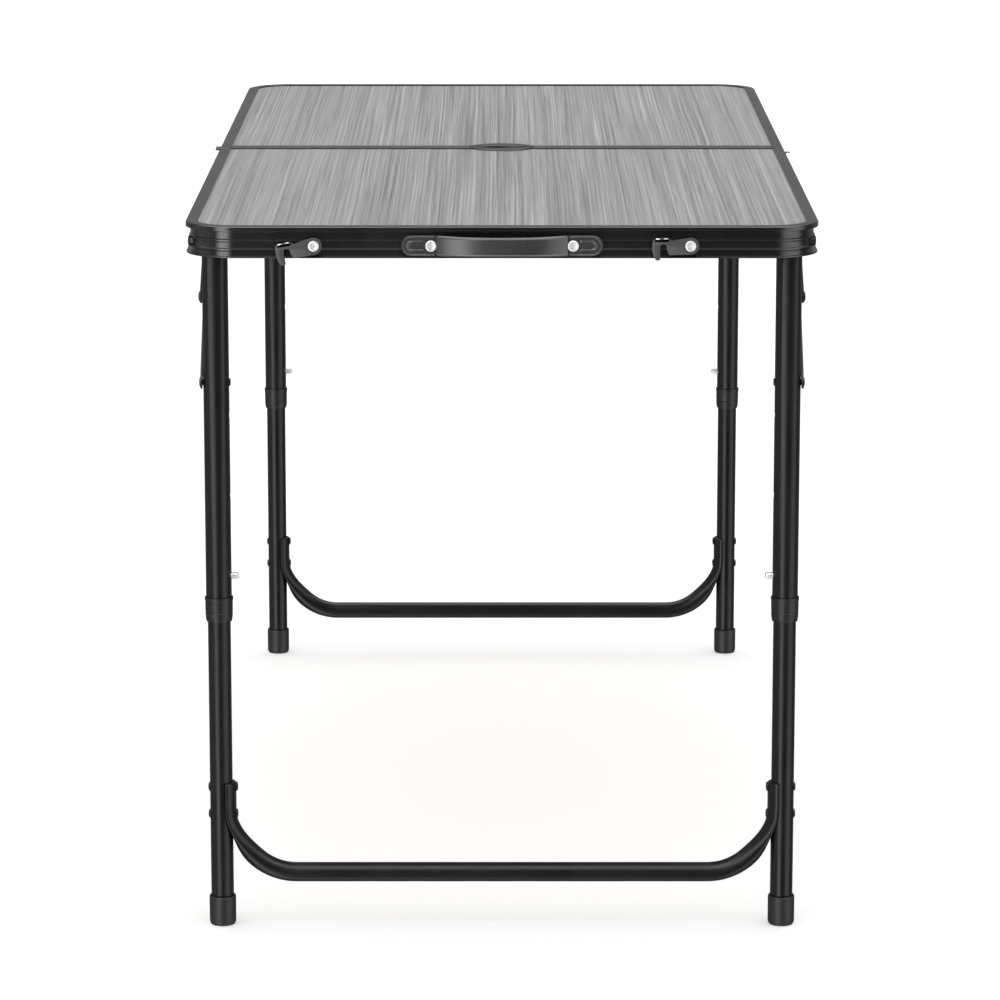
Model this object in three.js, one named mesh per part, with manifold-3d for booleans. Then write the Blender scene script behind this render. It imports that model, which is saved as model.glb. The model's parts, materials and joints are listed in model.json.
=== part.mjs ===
// Folding camping table: a top in two halves hinged at the seam, two pairs of telescoping legs that
// fold under the halves, breaking stays, a carrying handle and latch hooks.
// Millimetres, +Z up, X across the table, Y along it, the origin on the floor under the middle of the top.
// One half is described with the seam at y = 0 and its end at -Y; the other is the same half turned round.

import * as THREE from "three";
import { mergeVertices } from "three/addons/utils/BufferGeometryUtils.js";
import Module from "manifold-3d";

const wasm = await Module();
wasm.setup();

// ---------------------------------------------------------------- driving dimensions

// Whole table, at its highest setting
const TABLE_LENGTH = 1200;
const TABLE_WIDTH = 600;
const TABLE_HEIGHT = 690;
const SEAM_GAP = 1.5;
const CLEARANCE = 0.3;
const HOLE_ROOM = 0.5;
const OVERSHOOT = 1; // how far a cutter runs past what it cuts

// Edge profile: lip on top, recessed wall, flange at the bottom, ledge under the panel
const RAIL_HEIGHT = 30;
const CORNER_RADIUS = 48;
const CORNER_STEPS = 6;
const LIP_WIDTH = 11.5;
const SEAM_LIP_WIDTH = 13.5;
const LIP_THICKNESS = 1;
const LIP_BEVEL = 0.6;
const LIP_FACE = 5.3;
const LIP_OVERHANG = 4.5;
const WALL = 1.5;
const LEDGE = 1.2;
const FLANGE_REACH = 4;
const FLANGE = 1.4;
const SEAM_FLANGE_REACH = 10;
const RIDGE_DEPTHS = [13.9, 22.5];
const RIDGE_WIDTH = 1.8;
const RIDGE_PROUD = 0.5;
const PANEL_THICKNESS = 3.8;
const PANEL_MARGIN_PRESS = 0.15;

// Oval opening in the middle of the seam
const OPENING_HALF_WIDTH = 26;
const OPENING_HALF_DEPTH = 11.5;
const TRIM_HALF_WIDTH = 34;
const TRIM_HALF_DEPTH = 28;
const SLEEVE = 1.4;
const TRIM_THICKNESS = 1;

// Legs
const LEG_PAST_BEND = 13; // how far past the start of the corner's bend a leg stands
const LEG_TOP_ROOM = 0.5;
const TUBE_TOP_DROP = 0.6;
const UPPER_TUBE_RADIUS = 12.4;
const TUBE_WALL = 1.1;
const TUBE_ENGAGEMENT = 58; // how far a lower tube reaches up into the upper one
const TUBE_TOP_ROOM = 13; // left under the stay bolt when the legs are at their shortest
const COLLAR_ROOM = 4; // left above the crossbar's saddles when the legs are at their shortest
const COLLAR_BELOW_TUBE = 6;
const COLLAR_HEIGHT = 24;
const COLLAR_WALL = 0.85;
const COLLAR_WAIST = 0.3;
const COLLAR_NOSE = 1.1;
const FOOT_HEIGHT = 29;
const FOOT_FLOOR = 5;
const FOOT_WALL = 1.6;
const FOOT_BEVEL = 3;
const BUTTON_BELOW_TUBE_TOP = 19.5;
const BUTTON_RADIUS = 3.25;
const BUTTON_TIP_RADIUS = 1.8;
const BUTTON_PROUD = 7.2;
const SPRING_LEAF = 0.6;
const SPRING_WIDTH = 5;
const SPRING_LENGTH = 42;
const SPRING_BEND = 4;
const HEIGHT_STEPS = 2;
const PIVOT_BOLT_RADIUS = 4;
const PIVOT_HEAD_RADIUS = 6.4;
const PIVOT_HEAD_HEIGHT = 2.4;
const PIVOT_SPACER_RADIUS = 6;
const PIVOT_NUT_RADIUS = 6.5;
const PIVOT_NUT_HEIGHT = 4;

// Crossbar between the lower tubes of a pair
const CROSSBAR_RADIUS = 9.5;
const CROSSBAR_WALL = 1.3;
const CROSSBAR_Z = 52;
const CROSSBAR_BEND = 58;
const SADDLE_TOP_Z = 143;
const SADDLE_THICKNESS = 3.2;
const SADDLE_START_Z = 98;
const SADDLE_CONE_Z = 74;
const SADDLE_CONE_REACH = 22;
const CROSSBAR_RIVET_Z = [138, 111];
const CROSSBAR_DRAIN_RADIUS = 2;

// Folding stays
const STAY_LEG_DROP = 136;
const STAY_RAIL_REACH = 147;
const STAY_SLACK = 1.24; // how much longer the two links are than the straight span
const STAY_UPPER_EXTRA = 5.25;
const STAY_THICKNESS = 1.8;
const STAY_HALF_WIDTH = 6.5;
const STAY_PLANE_GAP = 1.6;
const STAY_TUBE_ROOM = 0.8;
const STAY_WALL_ROOM = 3.6;

// Rivets and studs
const RIVET_RADIUS = 3;
const RIVET_HEAD = 4.9;
const RIVET_CROWN = 3;
const RIVET_HEAD_HEIGHT = 2;
const RIVET_TAIL = 4.2;
const RIVET_TAIL_HEIGHT = 1;
const RIVET_SINK = 0.2; // how far a head is let into the plate that it is part of
const COLLAR_RADIUS = 5;
const HOOK_SPACER_RADIUS = 5.5;
const STUD_RADIUS = 2.6;
const STUD_COLLAR_RADIUS = 4;
const STUD_COLLAR_ROOM = 1.2;
const STUD_HEAD_HEIGHT = 1.4;

// Latch hooks
const HOOK_THICKNESS = 1.6;
const HOOK_DISC = 8;
const HOOK_NOTCH_REACH = 25.5;
const HOOK_NOTCH_WIDTH = 6.4;
const HOOK_NOTCH_TOP = -0.8;
const HOOK_TIP_REACH = 36;
const HOOK_TOP = 6;
const HOOK_FINGER_DROP = 13;
const HOOK_TAB_LENGTH = 13;
const HOOK_TAB_REACH = 7.3;
const HOOK_TAB_OFFSET = 1.5;
const HOOK_FLARE = 1.8;
const HOOK_FLARE_TOP = -3;
const HOOK_LIP_ROOM = 0.6;
const FRONT_HOOK_X = 177;
const FRONT_HOOK_RISE = 12;
const LEFT_HOOK_DROOP = 11;
const RIGHT_HOOK_DROOP = 1.5;
const SIDE_HOOK_SETBACK = 10;
const SIDE_HOOK_DEPTH = 15;
const SIDE_HOOK_RAISED = 7;
const SIDE_STUD_RISE = 0.95;

// Handle
const HANDLE_LENGTH = 190;
const HANDLE_THICKNESS = 3.5;
const HANDLE_ROOM_BELOW = 0.4;
const HANDLE_ROOM_ABOVE = 2.9;
const HANDLE_GRIP_WAIST = 1.5;
const HANDLE_GRIP_HALF = 62.3;
const HANDLE_BOW = 12;
const HANDLE_PAD_INSET = 6;
const HANDLE_RIVET_X = 66.8;
const HANDLE_RIVET_RADIUS = 2.6;

// Seam hinges
const HINGE_X = 200;
const HINGE_LENGTH = 48;
const HINGE_LEAF_REACH = 24;
const HINGE_LEAF = 1.6;
const HINGE_KNUCKLE_RADIUS = 3.2;
const HINGE_PIN_RADIUS = 1.5;
const HINGE_MIDDLE_KNUCKLE = 17;

// How finely round pieces are faceted
const TUBE_SIDES = 16;
const ROUND_SIDES = 12;
const PIN_SIDES = 8;
const OVAL_STEPS = 10;

// ---------------------------------------------------------------- values that follow

const HALF_LENGTH = TABLE_LENGTH / 2;
const HALF_WIDTH = TABLE_WIDTH / 2;
const RIM_Z = TABLE_HEIGHT - RAIL_HEIGHT;
const WALL_OUTER = HALF_WIDTH - LIP_OVERHANG;
const WALL_INNER = WALL_OUTER - WALL;
const END_WALL_OUTER = HALF_LENGTH - LIP_OVERHANG;
const SEAT = RIDGE_PROUD + CLEARANCE;
const BEND_CENTRE_Y = HALF_LENGTH - CORNER_RADIUS;
const PANEL_TOP_Z = TABLE_HEIGHT - LIP_THICKNESS - CLEARANCE;
const PANEL_BOTTOM_Z = PANEL_TOP_Z - PANEL_THICKNESS;
const LEDGE_DEPTH = TABLE_HEIGHT - PANEL_BOTTOM_Z + CLEARANCE;
const SEAM_Y = -SEAM_GAP / 2;

const UPPER_LINK_X = WALL_INNER - STAY_WALL_ROOM - STAY_THICKNESS;
const LOWER_LINK_X = UPPER_LINK_X - STAY_PLANE_GAP - STAY_THICKNESS;
const LEG_OUTER_X = LOWER_LINK_X - STAY_TUBE_ROOM;
const LEG_X = LEG_OUTER_X - UPPER_TUBE_RADIUS;
const LEG_INNER_X = LEG_X - UPPER_TUBE_RADIUS;
const LEG_Y = -(BEND_CENTRE_Y + LEG_PAST_BEND);
const PIVOT_Z = PANEL_BOTTOM_Z - LEG_TOP_ROOM - UPPER_TUBE_RADIUS;
const UPPER_BORE = UPPER_TUBE_RADIUS - TUBE_WALL;
const LOWER_TUBE_RADIUS = UPPER_BORE - CLEARANCE;
const LOWER_BORE = LOWER_TUBE_RADIUS - TUBE_WALL;

const STAY_LEG_Z = PIVOT_Z - STAY_LEG_DROP;
const STAY_RAIL_Y = LEG_Y + STAY_RAIL_REACH;
const STAY_HALF_SUM = (Math.hypot(STAY_LEG_DROP, STAY_RAIL_REACH) + STAY_SLACK) / 2;
const STAY_UPPER_LENGTH = STAY_HALF_SUM + STAY_UPPER_EXTRA;
const STAY_LOWER_LENGTH = STAY_HALF_SUM - STAY_UPPER_EXTRA;

// The legs shorten until the lower tube nears the stay bolt and the collar nears the crossbar's saddles.
const TELESCOPE = TUBE_ENGAGEMENT + COLLAR_BELOW_TUBE + TUBE_TOP_ROOM + COLLAR_ROOM;
const LEG_TRAVEL = (STAY_LEG_Z - SADDLE_TOP_Z - TELESCOPE) / 2;
const HEIGHT_STEP = LEG_TRAVEL / HEIGHT_STEPS;
const LOWER_TUBE_TOP_Z = STAY_LEG_Z - LEG_TRAVEL - TUBE_TOP_ROOM;
const UPPER_TUBE_END_Z = LOWER_TUBE_TOP_Z - TUBE_ENGAGEMENT;
const COLLAR_BOTTOM_Z = UPPER_TUBE_END_Z - COLLAR_BELOW_TUBE;
const COLLAR_TOP_Z = COLLAR_BOTTOM_Z + COLLAR_HEIGHT;
const BUTTON_Z = LOWER_TUBE_TOP_Z - BUTTON_BELOW_TUBE_TOP;

const HOOK_PLATE_OFFSET = LIP_OVERHANG + HOOK_LIP_ROOM;
const HINGE_Z = RIM_Z - CLEARANCE - HINGE_KNUCKLE_RADIUS;
const FRONT_HOOK_Z = RIM_Z + FRONT_HOOK_RISE;
const SIDE_HOOK_Z = TABLE_HEIGHT - SIDE_HOOK_DEPTH;
const SIDE_STUD_Z = RIM_Z + FLANGE + STUD_COLLAR_RADIUS + SIDE_STUD_RISE;
// With the halves closed, a latch hook turned down reaches the stud on the other half's end wall.
const CLOSING_STUD_Z = 2 * HINGE_Z - (FRONT_HOOK_Z - HOOK_NOTCH_REACH);
const HANDLE_PAD_HEIGHT = RAIL_HEIGHT - LIP_FACE - FLANGE - HANDLE_ROOM_BELOW - HANDLE_ROOM_ABOVE;
const HANDLE_Z = RIM_Z + FLANGE + HANDLE_ROOM_BELOW + HANDLE_PAD_HEIGHT / 2;

// ---------------------------------------------------------------- materials

const FINISHES = {
  laminate: { color: 0x9d9b99, roughness: 0.55, metalness: 0 },
  edging: { color: 0x2a2a2b, roughness: 0.4, metalness: 0.6 },
  tube: { color: 0x1f1f21, roughness: 0.35, metalness: 0.5 },
  plastic: { color: 0x232324, roughness: 0.5, metalness: 0 },
  grip: { color: 0x4a4a4b, roughness: 0.5, metalness: 0 },
  hook: { color: 0x454546, roughness: 0.45, metalness: 0.4 },
  bright: { color: 0xd6d6d6, roughness: 0.25, metalness: 1 },
  steel: { color: 0x3a3a3c, roughness: 0.4, metalness: 0.8 },
};

const materials = {};
for (const [name, finish] of Object.entries(FINISHES)) {
  materials[name] = new THREE.MeshStandardMaterial({ name, ...finish });
}

// ---------------------------------------------------------------- solids

// A three.js geometry as a solid that can be cut and joined.
function solidOf(geometry) {
  const bare = geometry.index ? geometry.toNonIndexed() : geometry.clone();
  bare.deleteAttribute("normal");
  bare.deleteAttribute("uv");
  const merged = mergeVertices(bare, 1e-4);
  return new wasm.Manifold(
    new wasm.Mesh({
      numProp: 3,
      vertProperties: new Float32Array(merged.attributes.position.array),
      triVerts: new Uint32Array(merged.index.array),
    }),
  );
}

function meshOf(name, solid, material) {
  const cut = solid.getMesh();
  const points = new Float32Array(cut.numVert * 3);
  for (let i = 0; i < cut.numVert; i++) {
    points.set(cut.vertProperties.subarray(i * cut.numProp, i * cut.numProp + 3), i * 3);
  }
  const indexed = new THREE.BufferGeometry();
  indexed.setAttribute("position", new THREE.BufferAttribute(points, 3));
  indexed.setIndex(new THREE.BufferAttribute(new Uint32Array(cut.triVerts), 1));
  const geometry = indexed.toNonIndexed();
  geometry.computeVertexNormals();
  const mesh = new THREE.Mesh(geometry, materials[material]);
  mesh.name = name;
  return mesh;
}

function join(solids) {
  return solids.reduce((sum, solid) => sum.add(solid));
}

function cutAll(solid, tools) {
  return tools.reduce((rest, tool) => rest.subtract(tool), solid);
}

// Turns a geometry made along +Z so that it runs along the named axis.
function alongAxis(geometry, axis) {
  if (axis === "x") geometry.rotateY(Math.PI / 2);
  if (axis === "y") geometry.rotateX(-Math.PI / 2);
  return geometry;
}

// A turned solid: profile points are [radius, place along the axis], from the low end to the high end.
function turned(profile, axis, centre, sides = ROUND_SIDES) {
  const low = profile[0][1];
  const high = profile[profile.length - 1][1];
  const closed = profile.map(([radius, along]) => new THREE.Vector2(radius, along));
  if (profile[0][0] > 0) closed.unshift(new THREE.Vector2(0, low));
  if (profile[profile.length - 1][0] > 0) closed.push(new THREE.Vector2(0, high));
  const geometry = new THREE.LatheGeometry(closed, sides);
  geometry.rotateX(Math.PI / 2);
  alongAxis(geometry, axis);
  geometry.translate(...centre);
  return solidOf(geometry);
}

// A plain cylinder from low to high along the axis.
function rod(radius, low, high, axis, centre, sides = PIN_SIDES) {
  const ends = [
    [radius, low],
    [radius, high],
  ];
  return turned(ends, axis, centre, sides);
}

function box(low, high) {
  const size = high.map((value, i) => value - low[i]);
  const middle = high.map((value, i) => (value + low[i]) / 2);
  return solidOf(new THREE.BoxGeometry(...size).translate(...middle));
}

function extruded(shape, depth, curveSegments = 4) {
  return new THREE.ExtrudeGeometry(shape, { depth, bevelEnabled: false, curveSegments });
}

// A path whose sections stand only at its ends and round its bends, so a straight run costs one step.
class StationPath extends THREE.Curve {
  constructor(points, bendRadius, bendSteps) {
    super();
    this.stations = [];
    const last = points.length - 1;
    points.forEach((corner, i) => {
      if (i === 0 || i === last) {
        const from = points[Math.max(i - 1, 0)];
        const to = points[Math.min(i + 1, last)];
        this.addStation(corner, to.clone().sub(from).normalize());
        return;
      }
      this.addBend(points[i - 1], corner, points[i + 1], bendRadius, bendSteps);
    });
  }

  addStation(point, tangent) {
    this.stations.push({ point: point.clone(), tangent });
  }

  addBend(before, corner, after, radius, steps) {
    const into = corner.clone().sub(before).normalize();
    const out = after.clone().sub(corner).normalize();
    const turn = into.angleTo(out);
    const start = corner.clone().addScaledVector(into, -radius * Math.tan(turn / 2));
    const side = out.clone().addScaledVector(into, -out.dot(into)).normalize();
    for (let i = 0; i <= steps; i++) {
      const angle = (turn * i) / steps;
      const point = start
        .clone()
        .addScaledVector(into, radius * Math.sin(angle))
        .addScaledVector(side, radius * (1 - Math.cos(angle)));
      const tangent = into.clone().multiplyScalar(Math.cos(angle));
      this.addStation(point, tangent.addScaledVector(side, Math.sin(angle)));
    }
  }

  at(t) {
    return this.stations[Math.round(t * (this.stations.length - 1))];
  }

  getPoint(t) {
    return this.at(t).point.clone();
  }

  getPointAt(u) {
    return this.getPoint(u);
  }

  getTangentAt(u) {
    return this.at(u).tangent.clone();
  }
}

function swept(shape, path, curveSegments = 4) {
  const steps = path.stations.length - 1;
  return solidOf(new THREE.ExtrudeGeometry(shape, { extrudePath: path, steps, curveSegments }));
}

// ---------------------------------------------------------------- edge frames, seam rails, panels

// The edge profile: x is the depth below the top, y is the distance inwards from the lip's outer face.
function edgeProfile() {
  const inner = LIP_OVERHANG + WALL;
  const rim = LIP_OVERHANG - FLANGE_REACH;
  const shape = new THREE.Shape();
  shape.moveTo(0, LIP_BEVEL);
  shape.lineTo(0, LIP_WIDTH);
  shape.lineTo(LIP_THICKNESS, LIP_WIDTH);
  shape.lineTo(LIP_THICKNESS, inner);
  shape.lineTo(LEDGE_DEPTH, inner);
  shape.lineTo(LEDGE_DEPTH, LIP_WIDTH);
  shape.lineTo(LEDGE_DEPTH + LEDGE, LIP_WIDTH);
  shape.lineTo(LEDGE_DEPTH + LEDGE, inner);
  shape.lineTo(RAIL_HEIGHT, inner);
  shape.lineTo(RAIL_HEIGHT, rim);
  shape.lineTo(RAIL_HEIGHT - FLANGE, rim);
  shape.lineTo(RAIL_HEIGHT - FLANGE, LIP_OVERHANG);
  for (const depth of [...RIDGE_DEPTHS].reverse()) {
    shape.lineTo(depth + RIDGE_WIDTH / 2, LIP_OVERHANG);
    shape.lineTo(depth, LIP_OVERHANG - RIDGE_PROUD);
    shape.lineTo(depth - RIDGE_WIDTH / 2, LIP_OVERHANG);
  }
  shape.lineTo(LIP_FACE, LIP_OVERHANG);
  shape.lineTo(LIP_FACE, 0);
  shape.lineTo(LIP_BEVEL, 0);
  return shape;
}

function edgeFrame() {
  const corners = [
    new THREE.Vector3(-HALF_WIDTH, SEAM_Y, TABLE_HEIGHT),
    new THREE.Vector3(-HALF_WIDTH, -HALF_LENGTH, TABLE_HEIGHT),
    new THREE.Vector3(HALF_WIDTH, -HALF_LENGTH, TABLE_HEIGHT),
    new THREE.Vector3(HALF_WIDTH, SEAM_Y, TABLE_HEIGHT),
  ];
  return swept(edgeProfile(), new StationPath(corners, CORNER_RADIUS, CORNER_STEPS));
}

// The half's rivet and bolt holes through the side walls, with room for the bolt's head.
function sideWallHoles() {
  const holes = [];
  const through = [LEG_OUTER_X, WALL_OUTER + OVERSHOOT];
  const hole = (side, radius, y, z) => {
    const ends = through.map((x) => x * side).sort((a, b) => a - b);
    holes.push(rod(radius + HOLE_ROOM, ...ends, "x", [0, y, z]));
  };
  for (const side of [-1, 1]) {
    const head = [side * pivotHeadX(), side * (HALF_WIDTH + OVERSHOOT)].sort((a, b) => a - b);
    holes.push(rod(PIVOT_HEAD_RADIUS + CLEARANCE, ...head, "x", [0, LEG_Y, PIVOT_Z], ROUND_SIDES));
    hole(side, PIVOT_BOLT_RADIUS, LEG_Y, PIVOT_Z);
    hole(side, RIVET_RADIUS, STAY_RAIL_Y, PIVOT_Z);
  }
  hole(-1, RIVET_RADIUS, -SIDE_HOOK_SETBACK, SIDE_HOOK_Z);
  hole(1, STUD_RADIUS, -sideStudY(), SIDE_STUD_Z);
  return holes;
}

// A hole through the end wall.
function endWallHole(radius, x, z) {
  const outside = -END_WALL_OUTER - OVERSHOOT;
  const inside = -END_WALL_OUTER + WALL + OVERSHOOT;
  return rod(radius + HOLE_ROOM, outside, inside, "y", [x, 0, z]);
}

// An upright oval prism, or the ring between two ovals.
function oval(halfWidth, halfDepth, low, high, hole) {
  const shape = new THREE.Shape();
  shape.absellipse(0, 0, halfWidth, halfDepth, 0, 2 * Math.PI, false, 0);
  if (hole) {
    const inside = new THREE.Path();
    inside.absellipse(0, 0, hole[0], hole[1], 0, 2 * Math.PI, false, 0);
    shape.holes.push(inside);
  }
  return solidOf(extruded(shape, high - low, OVAL_STEPS).translate(0, 0, low));
}

// Everything on this half's side of the seam.
function halfSpace() {
  return box([-HALF_WIDTH, -HALF_LENGTH, 0], [HALF_WIDTH, SEAM_Y, TABLE_HEIGHT + OVERSHOOT]);
}

// A straight run of the seam profile: x is the depth below the top, y is the distance from the seam face.
function seamRun(points, halfSpan) {
  const shape = new THREE.Shape(points.map(([depth, reach]) => new THREE.Vector2(depth, reach)));
  const ends = [
    new THREE.Vector3(halfSpan, SEAM_Y, TABLE_HEIGHT),
    new THREE.Vector3(-halfSpan, SEAM_Y, TABLE_HEIGHT),
  ];
  return swept(shape, new StationPath(ends, 1, 1));
}

function seamRail() {
  const upper = [
    [0, 0],
    [0, SEAM_LIP_WIDTH],
    [LIP_THICKNESS, SEAM_LIP_WIDTH],
    [LIP_THICKNESS, WALL],
    [LEDGE_DEPTH, WALL],
    [LEDGE_DEPTH, LIP_WIDTH],
    [LEDGE_DEPTH + LEDGE, LIP_WIDTH],
    [LEDGE_DEPTH + LEDGE, 0],
  ];
  const lower = [
    [LEDGE_DEPTH + LEDGE, 0],
    [LEDGE_DEPTH + LEDGE, WALL],
    [RAIL_HEIGHT - FLANGE, WALL],
    [RAIL_HEIGHT - FLANGE, SEAM_FLANGE_REACH],
    [RAIL_HEIGHT, SEAM_FLANGE_REACH],
    [RAIL_HEIGHT, 0],
  ];
  const halfSpan = HALF_WIDTH - LIP_WIDTH - CLEARANCE;
  const straight = seamRun(upper, halfSpan).add(seamRun(lower, halfSpan));
  const ledgeTop = TABLE_HEIGHT - LEDGE_DEPTH;
  const over = TABLE_HEIGHT + OVERSHOOT;
  const trimSeat = oval(TRIM_HALF_WIDTH + CLEARANCE, TRIM_HALF_DEPTH + CLEARANCE, PANEL_TOP_Z, over);
  const sleeveSeat = oval(...sleeveOutline(CLEARANCE), ledgeTop, over);
  const passage = oval(OPENING_HALF_WIDTH, OPENING_HALF_DEPTH, 0, over);
  const opening = [OPENING_HALF_WIDTH, OPENING_HALF_DEPTH];
  const pocket = oval(...sleeveOutline(0), RIM_Z, ledgeTop, opening).intersect(halfSpace());
  return cutAll(straight, [trimSeat, sleeveSeat, passage]).add(pocket);
}

// Half width and half depth of the trim's sleeve, with room round it.
function sleeveOutline(room) {
  return [OPENING_HALF_WIDTH + SLEEVE + room, OPENING_HALF_DEPTH + SLEEVE + room];
}

function openingTrim() {
  const opening = [OPENING_HALF_WIDTH, OPENING_HALF_DEPTH];
  const plateLow = TABLE_HEIGHT - TRIM_THICKNESS;
  const plate = oval(TRIM_HALF_WIDTH, TRIM_HALF_DEPTH, plateLow, TABLE_HEIGHT, opening);
  const sleeve = oval(...sleeveOutline(0), PANEL_BOTTOM_Z, plateLow + TRIM_THICKNESS / 2, opening);
  return plate.add(sleeve).intersect(halfSpace());
}

function panelShape(inset, seam) {
  const x = HALF_WIDTH - inset;
  const end = -(HALF_LENGTH - inset);
  const radius = CORNER_RADIUS - inset;
  const shape = new THREE.Shape();
  shape.moveTo(x, seam);
  shape.lineTo(-x, seam);
  shape.lineTo(-x, end + radius);
  shape.absarc(-x + radius, end + radius, radius, Math.PI, 1.5 * Math.PI, false);
  shape.lineTo(x - radius, end);
  shape.absarc(x - radius, end + radius, radius, 1.5 * Math.PI, 2 * Math.PI, false);
  return shape;
}

// The margin under the lips and the trim is pressed a little thinner than the open face.
function panel() {
  const level = (shape, thickness) =>
    solidOf(extruded(shape, thickness, CORNER_STEPS / 2).translate(0, 0, PANEL_BOTTOM_Z));
  const covered = panelShape(LIP_OVERHANG + WALL + CLEARANCE, SEAM_Y - WALL - CLEARANCE);
  const open = panelShape(LIP_WIDTH + CLEARANCE, SEAM_Y - SEAM_LIP_WIDTH - CLEARANCE);
  const underTrim = oval(TRIM_HALF_WIDTH + CLEARANCE, TRIM_HALF_DEPTH + CLEARANCE, 0, TABLE_HEIGHT);
  return level(covered, PANEL_THICKNESS - PANEL_MARGIN_PRESS)
    .add(level(open, PANEL_THICKNESS).subtract(underTrim))
    .subtract(oval(...sleeveOutline(CLEARANCE), 0, TABLE_HEIGHT));
}

// ---------------------------------------------------------------- legs

function tubeSolid(outer, bore, low, high, centre) {
  const tube = rod(outer, low, high, "z", centre, TUBE_SIDES);
  return tube.subtract(rod(bore, low - OVERSHOOT, high + OVERSHOOT, "z", centre, TUBE_SIDES));
}

// A hole for a pin across a tube that stands at x, from one side of its axis to the other.
function crossHole(radius, x, z, from, to) {
  return rod(radius + HOLE_ROOM, x + from, x + to, "x", [0, LEG_Y, z]);
}

function upperTube(side) {
  const x = side * LEG_X;
  const roundZ = PIVOT_Z - TUBE_TOP_DROP;
  const top = roundZ + UPPER_TUBE_RADIUS;
  const reach = UPPER_TUBE_RADIUS + OVERSHOOT;
  const tube = tubeSolid(UPPER_TUBE_RADIUS, UPPER_BORE, UPPER_TUBE_END_Z, top, [x, LEG_Y, 0]);
  const roundTop = rod(UPPER_TUBE_RADIUS, x - reach, x + reach, "x", [0, LEG_Y, roundZ], TUBE_SIDES);
  const body = box([x - reach, LEG_Y - reach, 0], [x + reach, LEG_Y + reach, roundZ]);
  const holes = [
    crossHole(PIVOT_BOLT_RADIUS, x, PIVOT_Z, -reach, reach),
    crossHole(RIVET_RADIUS, x, STAY_LEG_Z, -reach, reach),
  ];
  for (let step = 0; step <= HEIGHT_STEPS; step++) {
    const z = BUTTON_Z + step * HEIGHT_STEP;
    const span = side > 0 ? [-reach, 0] : [0, reach];
    holes.push(crossHole(BUTTON_RADIUS, x, z, ...span));
  }
  return cutAll(tube.intersect(roundTop.add(body)), holes);
}

function lowerTube(side) {
  const x = side * LEG_X;
  const reach = LOWER_TUBE_RADIUS + OVERSHOOT;
  const low = FOOT_FLOOR + CLEARANCE;
  const tube = tubeSolid(LOWER_TUBE_RADIUS, LOWER_BORE, low, LOWER_TUBE_TOP_Z, [x, LEG_Y, 0]);
  const span = side > 0 ? [-reach, 0] : [0, reach];
  const holes = [crossHole(BUTTON_RADIUS, x, BUTTON_Z, ...span)];
  for (const z of CROSSBAR_RIVET_Z) {
    holes.push(crossHole(RIVET_RADIUS, x, z, -reach, reach));
  }
  return cutAll(tube, holes);
}

function collar(side) {
  const centre = [side * LEG_X, LEG_Y, 0];
  const seat = UPPER_TUBE_RADIUS + CLEARANCE;
  const outer = seat + COLLAR_WALL;
  const waist = outer - COLLAR_WAIST;
  const outside = [
    [waist - COLLAR_NOSE, COLLAR_BOTTOM_Z],
    [waist, COLLAR_BOTTOM_Z + COLLAR_HEIGHT * 0.2],
    [waist, COLLAR_TOP_Z - COLLAR_HEIGHT * 0.15],
    [outer, COLLAR_TOP_Z],
  ];
  const shoulder = UPPER_TUBE_END_Z - CLEARANCE;
  const low = COLLAR_BOTTOM_Z - OVERSHOOT;
  const slide = rod(UPPER_BORE, low, shoulder + OVERSHOOT, "z", centre, TUBE_SIDES);
  const sleeve = rod(seat, shoulder, COLLAR_TOP_Z + OVERSHOOT, "z", centre, TUBE_SIDES);
  return cutAll(turned(outside, "z", centre, TUBE_SIDES), [slide, sleeve]);
}

function foot(side) {
  const centre = [side * LEG_X, LEG_Y, 0];
  const bore = LOWER_TUBE_RADIUS + CLEARANCE;
  const outer = bore + FOOT_WALL;
  const outside = [
    [outer - FOOT_BEVEL, 0],
    [outer, FOOT_BEVEL],
    [outer, FOOT_HEIGHT],
  ];
  const socket = rod(bore, FOOT_FLOOR, FOOT_HEIGHT + OVERSHOOT, "z", centre, TUBE_SIDES);
  return turned(outside, "z", centre, TUBE_SIDES).subtract(socket);
}

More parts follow.
